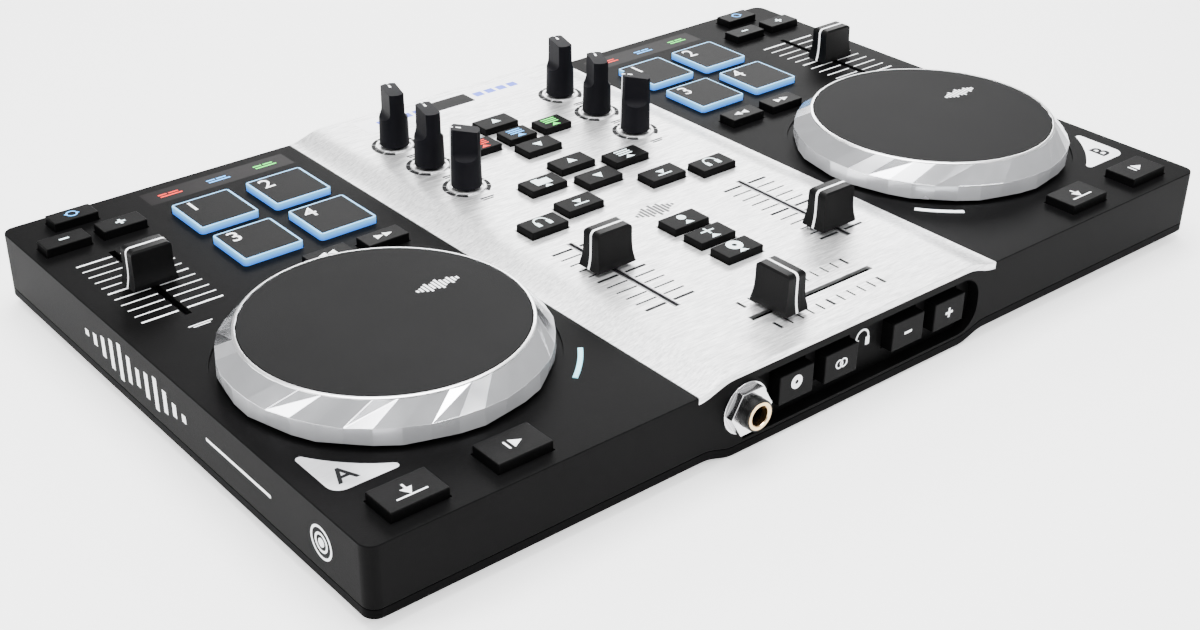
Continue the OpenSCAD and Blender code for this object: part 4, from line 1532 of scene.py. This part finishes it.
@dataclass
class Deck:
    """One deck: keys, pads, pitch scale, window legends, letter, wheel and fader caps."""

    finishes: Finishes
    name: str
    side: int
    letter: str
    marks: MarkMaker = field(default_factory=MarkMaker)
    key_edge: float = 0.3
    scale_y: float = 46.9
    scale_labels: tuple[tuple[float, float], ...] = ((7.6, 14.6), (5.4, 13.6))
    legend_x: float = 95.65
    legend_y: float = 98.05
    legend_pitch: float = 18.0
    letter_x: float = 156.3
    letter_y: float = -75.7
    letter_height: float = 6.4

    def key(self, node: str, mark: Mark, finish: str = "white") -> None:
        """One deck key with its sign.

        Args:
            node: Its CAD node, which is also its body.
            mark: Its sign.
            finish: The sign's finish.
        """
        dress(refined(node, f"{node}_cap", self.key_edge, 3, 30.0), self.finishes.key, node)
        dress(self.marks.make(f"{node}_sign", mark, middle(node)), getattr(self.finishes, finish),
              node)

    def keys(self) -> None:
        """All of the deck's keys."""
        deck = self.name
        self.key(f"cue_key_{deck}", Mark.CUE)
        self.key(f"play_key_{deck}", Mark.PLAY)
        self.key(f"rewind_key_{deck}", Mark.REWIND)
        self.key(f"forward_key_{deck}", Mark.FORWARD)
        node = f"sync_keys_{deck}"
        dress(refined(node, f"{node}_caps", self.key_edge, 3, 30.0), self.finishes.key, node)
        centre = middle(node)
        places = ((Mark.SYNC, 0.1 * self.side, 7.5, "lit_blue"), (Mark.MINUS, -9.6, -7.5, "lit_white"),
                  (Mark.PLUS, 9.6, -7.5, "lit_white"))
        for mark, x, y, finish in places:
            sign = self.marks.make(f"{node}_{mark.value}", mark, stand(centre, x, y))
            dress(sign, getattr(self.finishes, finish), node)

    def pads(self, deck_top: float) -> None:
        """The four pads.

        Args:
            deck_top: Height of the deck's surface, in metres.
        """
        glow = SideLit(f"pad_glow_{self.name}", (0.20, 0.62, 1.0), (0.0, 0.13, 0.80), deck_top,
                       deck_top + 2.15 * MM, 1.25).build()
        for number in range(1, 5):
            Pad(self.finishes).build(number, self.name, glow)

    def printed(self, deck_top: float) -> None:
        """The pitch scale, the window's legends and the letter.

        Args:
            deck_top: Height of the deck's surface, in metres.
        """
        x = middle(f"pitch_fader_{self.name}").x
        scale = Scale(outer=13.3, thin=0.45, thick=0.75)
        ticks = scale.lines(Vector((x, self.scale_y * MM, deck_top)), along_x=False)
        for long, y in self.scale_labels:
            ticks.append(block("label", (x, y * MM, deck_top), (long, 0.45, 0.05)))
        dress(join(f"pitch_scale_{self.name}", ticks), self.finishes.white, "case")
        for step, finish in ((-1, "lit_red"), (0, "lit_blue"), (1, "lit_green")):
            x = self.side * self.legend_x + step * self.legend_pitch
            at = Vector((x * MM, self.legend_y * MM, deck_top))
            strokes = [block("stroke", stand(at, dx, dy), (wide, 0.75, 0.06))
                       for dx, dy, wide in ((-2.6, 0.7, 3.2), (1.4, 0.7, 3.6), (0.0, -0.9, 8.0))]
            dress(join(f"mode_legend_{finish[4:]}_{self.name}", strokes), getattr(self.finishes, finish),
                  "case")
        letter_at = Vector((self.side * self.letter_x * MM, self.letter_y * MM, deck_top))
        letter = lettering(f"deck_letter_{self.name}", self.letter, letter_at, self.letter_height, 0.05, 0.16)
        dress(letter, self.finishes.dark_ink, "case")

    def build(self) -> None:
        """Make the deck."""
        deck_top = corners("deck_letter_plates")[1].z
        self.keys()
        self.pads(deck_top)
        self.printed(deck_top)
        JogWheel(self.finishes).build(self.name)
        FaderCap(self.finishes).build(f"pitch_fader_{self.name}")
        FaderCap(self.finishes).build(f"volume_fader_{self.name}")
        LOG.info("%s deck ready", self.name)


@dataclass
class DeckTrim:
    """The flush trim whose CAD nodes both decks share."""

    finishes: Finishes

    def build(self) -> None:
        """Make the letter plates and beat lights."""
        dress(refined("deck_letter_plates", "letter_plate_pair", 0.0), self.finishes.trim,
              "case")
        lights = refined("beat_lights", "beat_light_bars", 0.25, 3, 40.0)
        dress(lights, self.finishes.beat_a, "case")
        lights.data.materials.append(self.finishes.beat_b)
        for polygon in lights.data.polygons:
            polygon.material_index = 1 if polygon.center.x > 0 else 0


# ---- Front and back ----


@dataclass
class FrontPanel:
    """The four front keys, the headphone sign and the socket's metal parts."""

    finishes: Finishes
    marks: MarkMaker = field(default_factory=MarkMaker)
    edge: float = 0.35
    sign_scale: float = 1.35
    sign_x: float = 7.2
    sign_z: float = 16.4
    sign_depth: float = 4.0
    sleeve_long: float = 6.2
    thread_turns: int = 9
    thread_first: float = 0.35
    thread_pitch: float = 0.62
    thread_crest: float = 4.85
    thread_root: float = 4.62

    def upright(self, piece: Piece, at: Vector) -> Piece:
        """Stand a flat sign, made round the origin, on the front face of a key.

        Args:
            piece: The sign.
            at: Where its middle goes.

        Returns:
            The same object.
        """
        piece.rotation_euler = (math.pi / 2, 0.0, 0.0)
        piece.location = at
        return settle(piece)

    def keys(self) -> None:
        """The four keys in the recess."""
        signs = {"headphone_cue_key": Mark.DISC, "headphone_mix_key": Mark.MIX,
                 "headphone_down_key": Mark.MINUS, "headphone_up_key": Mark.PLUS}
        for node, mark in signs.items():
            dress(refined(node, f"{node}_cap", self.edge, 3, 30.0), self.finishes.mat_key, node)
            low, high = corners(node)
            at = Vector(((low.x + high.x) / 2, low.y, (low.z + high.z) / 2))
            parts = self.marks.parts(mark, Vector((0, 0, 0)))
            kept = parts[:1] if mark is Mark.DISC else parts
            for part in parts[len(kept):]:
                bpy.data.objects.remove(part)
            sign = self.upright(join(f"{node}_sign", kept), at)
            dress(sign, self.finishes.white, node)

    def sign(self) -> None:
        """The headphone sign between the keys."""
        cue = Vector(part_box("headphone_cue_key")[0])
        parts = self.marks.parts(Mark.HEADPHONES, Vector((0, 0, 0)))
        sign = join("socket_sign", parts)
        sign.scale = (self.sign_scale, self.sign_scale, 1.0)
        settle(sign)
        place = Vector((self.sign_x * MM, cue.y + self.sign_depth * MM, self.sign_z * MM))
        piece = self.upright(sign, place)
        dress(piece, self.finishes.white, "case")

    def socket(self) -> None:
        """The nut, washer, threaded sleeve and contact ring."""
        dress(refined("socket_nut_washer", "nut_and_washer", 0.3, 3, 30.0), self.finishes.nickel,
              "case")
        low, high = corners("headphone_socket")
        x, z = (low.x + high.x) / 2, (low.z + high.z) / 2
        rings = []
        for number in range(self.thread_turns):
            height = self.thread_first + self.thread_pitch * number
            rings += [Ring(self.thread_crest, height), Ring(self.thread_root, height + self.thread_pitch / 2)]
        rings += [Ring(self.thread_crest, 6.0), Ring(4.5, 6.3), Ring(3.3, 6.3), Ring(3.3, 5.0),
                  Ring(3.3, self.thread_first)]
        sleeve = turned("socket_thread", rings, 48, hollow=True, smooth=60.0)
        contact = turned("socket_contact_ring", [Ring(3.28, 2.0), Ring(4.3, 6.2), Ring(4.25, 6.45),
                                                 Ring(3.3, 6.45), Ring(3.05, 6.2), Ring(3.05, 2.0)],
                         48, hollow=True, smooth=40.0)
        front = Vector((x, low.y + self.sleeve_long * MM, z))
        for piece, finish in ((sleeve, self.finishes.thread), (contact, self.finishes.brass)):
            self.upright(piece, front)
            dress(piece, finish, "case")

    def build(self) -> None:
        """Make the front panel's pieces."""
        self.keys()
        self.sign()
        self.socket()
        LOG.info("front panel ready")


@dataclass
class BackPanel:
    """The coloured rings of the line outputs."""

    finishes: Finishes

    def build(self) -> None:
        """Make the back panel's pieces."""
        low, high = corners("line_output_sockets")
        z = (low.z + high.z) / 2
        for x, finish, name in ((low.x + 6.0 * MM, self.finishes.phono_red, "red"),
                                (high.x - 6.0 * MM, self.finishes.phono_white, "white")):
            ring = turned(f"phono_insulator_{name}", [Ring(1.7, 0.0), Ring(3.6, 0.0), Ring(3.6, 0.25),
                                                      Ring(1.9, 0.45), Ring(1.7, 0.3)], 40, hollow=True)
            ring.rotation_euler = (-math.pi / 2, 0.0, 0.0)
            ring.location = (x, high.y - 0.02 * MM, z)
            dress(settle(ring), finish, "case")
        LOG.info("back panel ready")


# ---- Putting it together ----


def main() -> None:
    """Build the studio and every sub-assembly in order."""
    logging.basicConfig(level=logging.INFO, format="%(name)s: %(message)s")
    Studio().build()
    finishes = Finishes()
    Case(finishes).build()
    DeckTrim(finishes).build()
    MixerPlate(finishes).build()
    KeySet(finishes).build()
    for deck in ("left", "right"):
        for row in ("treble", "mid", "bass"):
            Knob(finishes).build(f"{row}_knob_{deck}", KNOB_TURNS[deck][row])
    Deck(finishes, "left", -1, "A").build()
    Deck(finishes, "right", 1, "B").build()
    FaderCap(finishes).build("crossfader", along_x=True)
    FrontPanel(finishes).build()
    BackPanel(finishes).build()


if __name__ == "__main__":
    main()
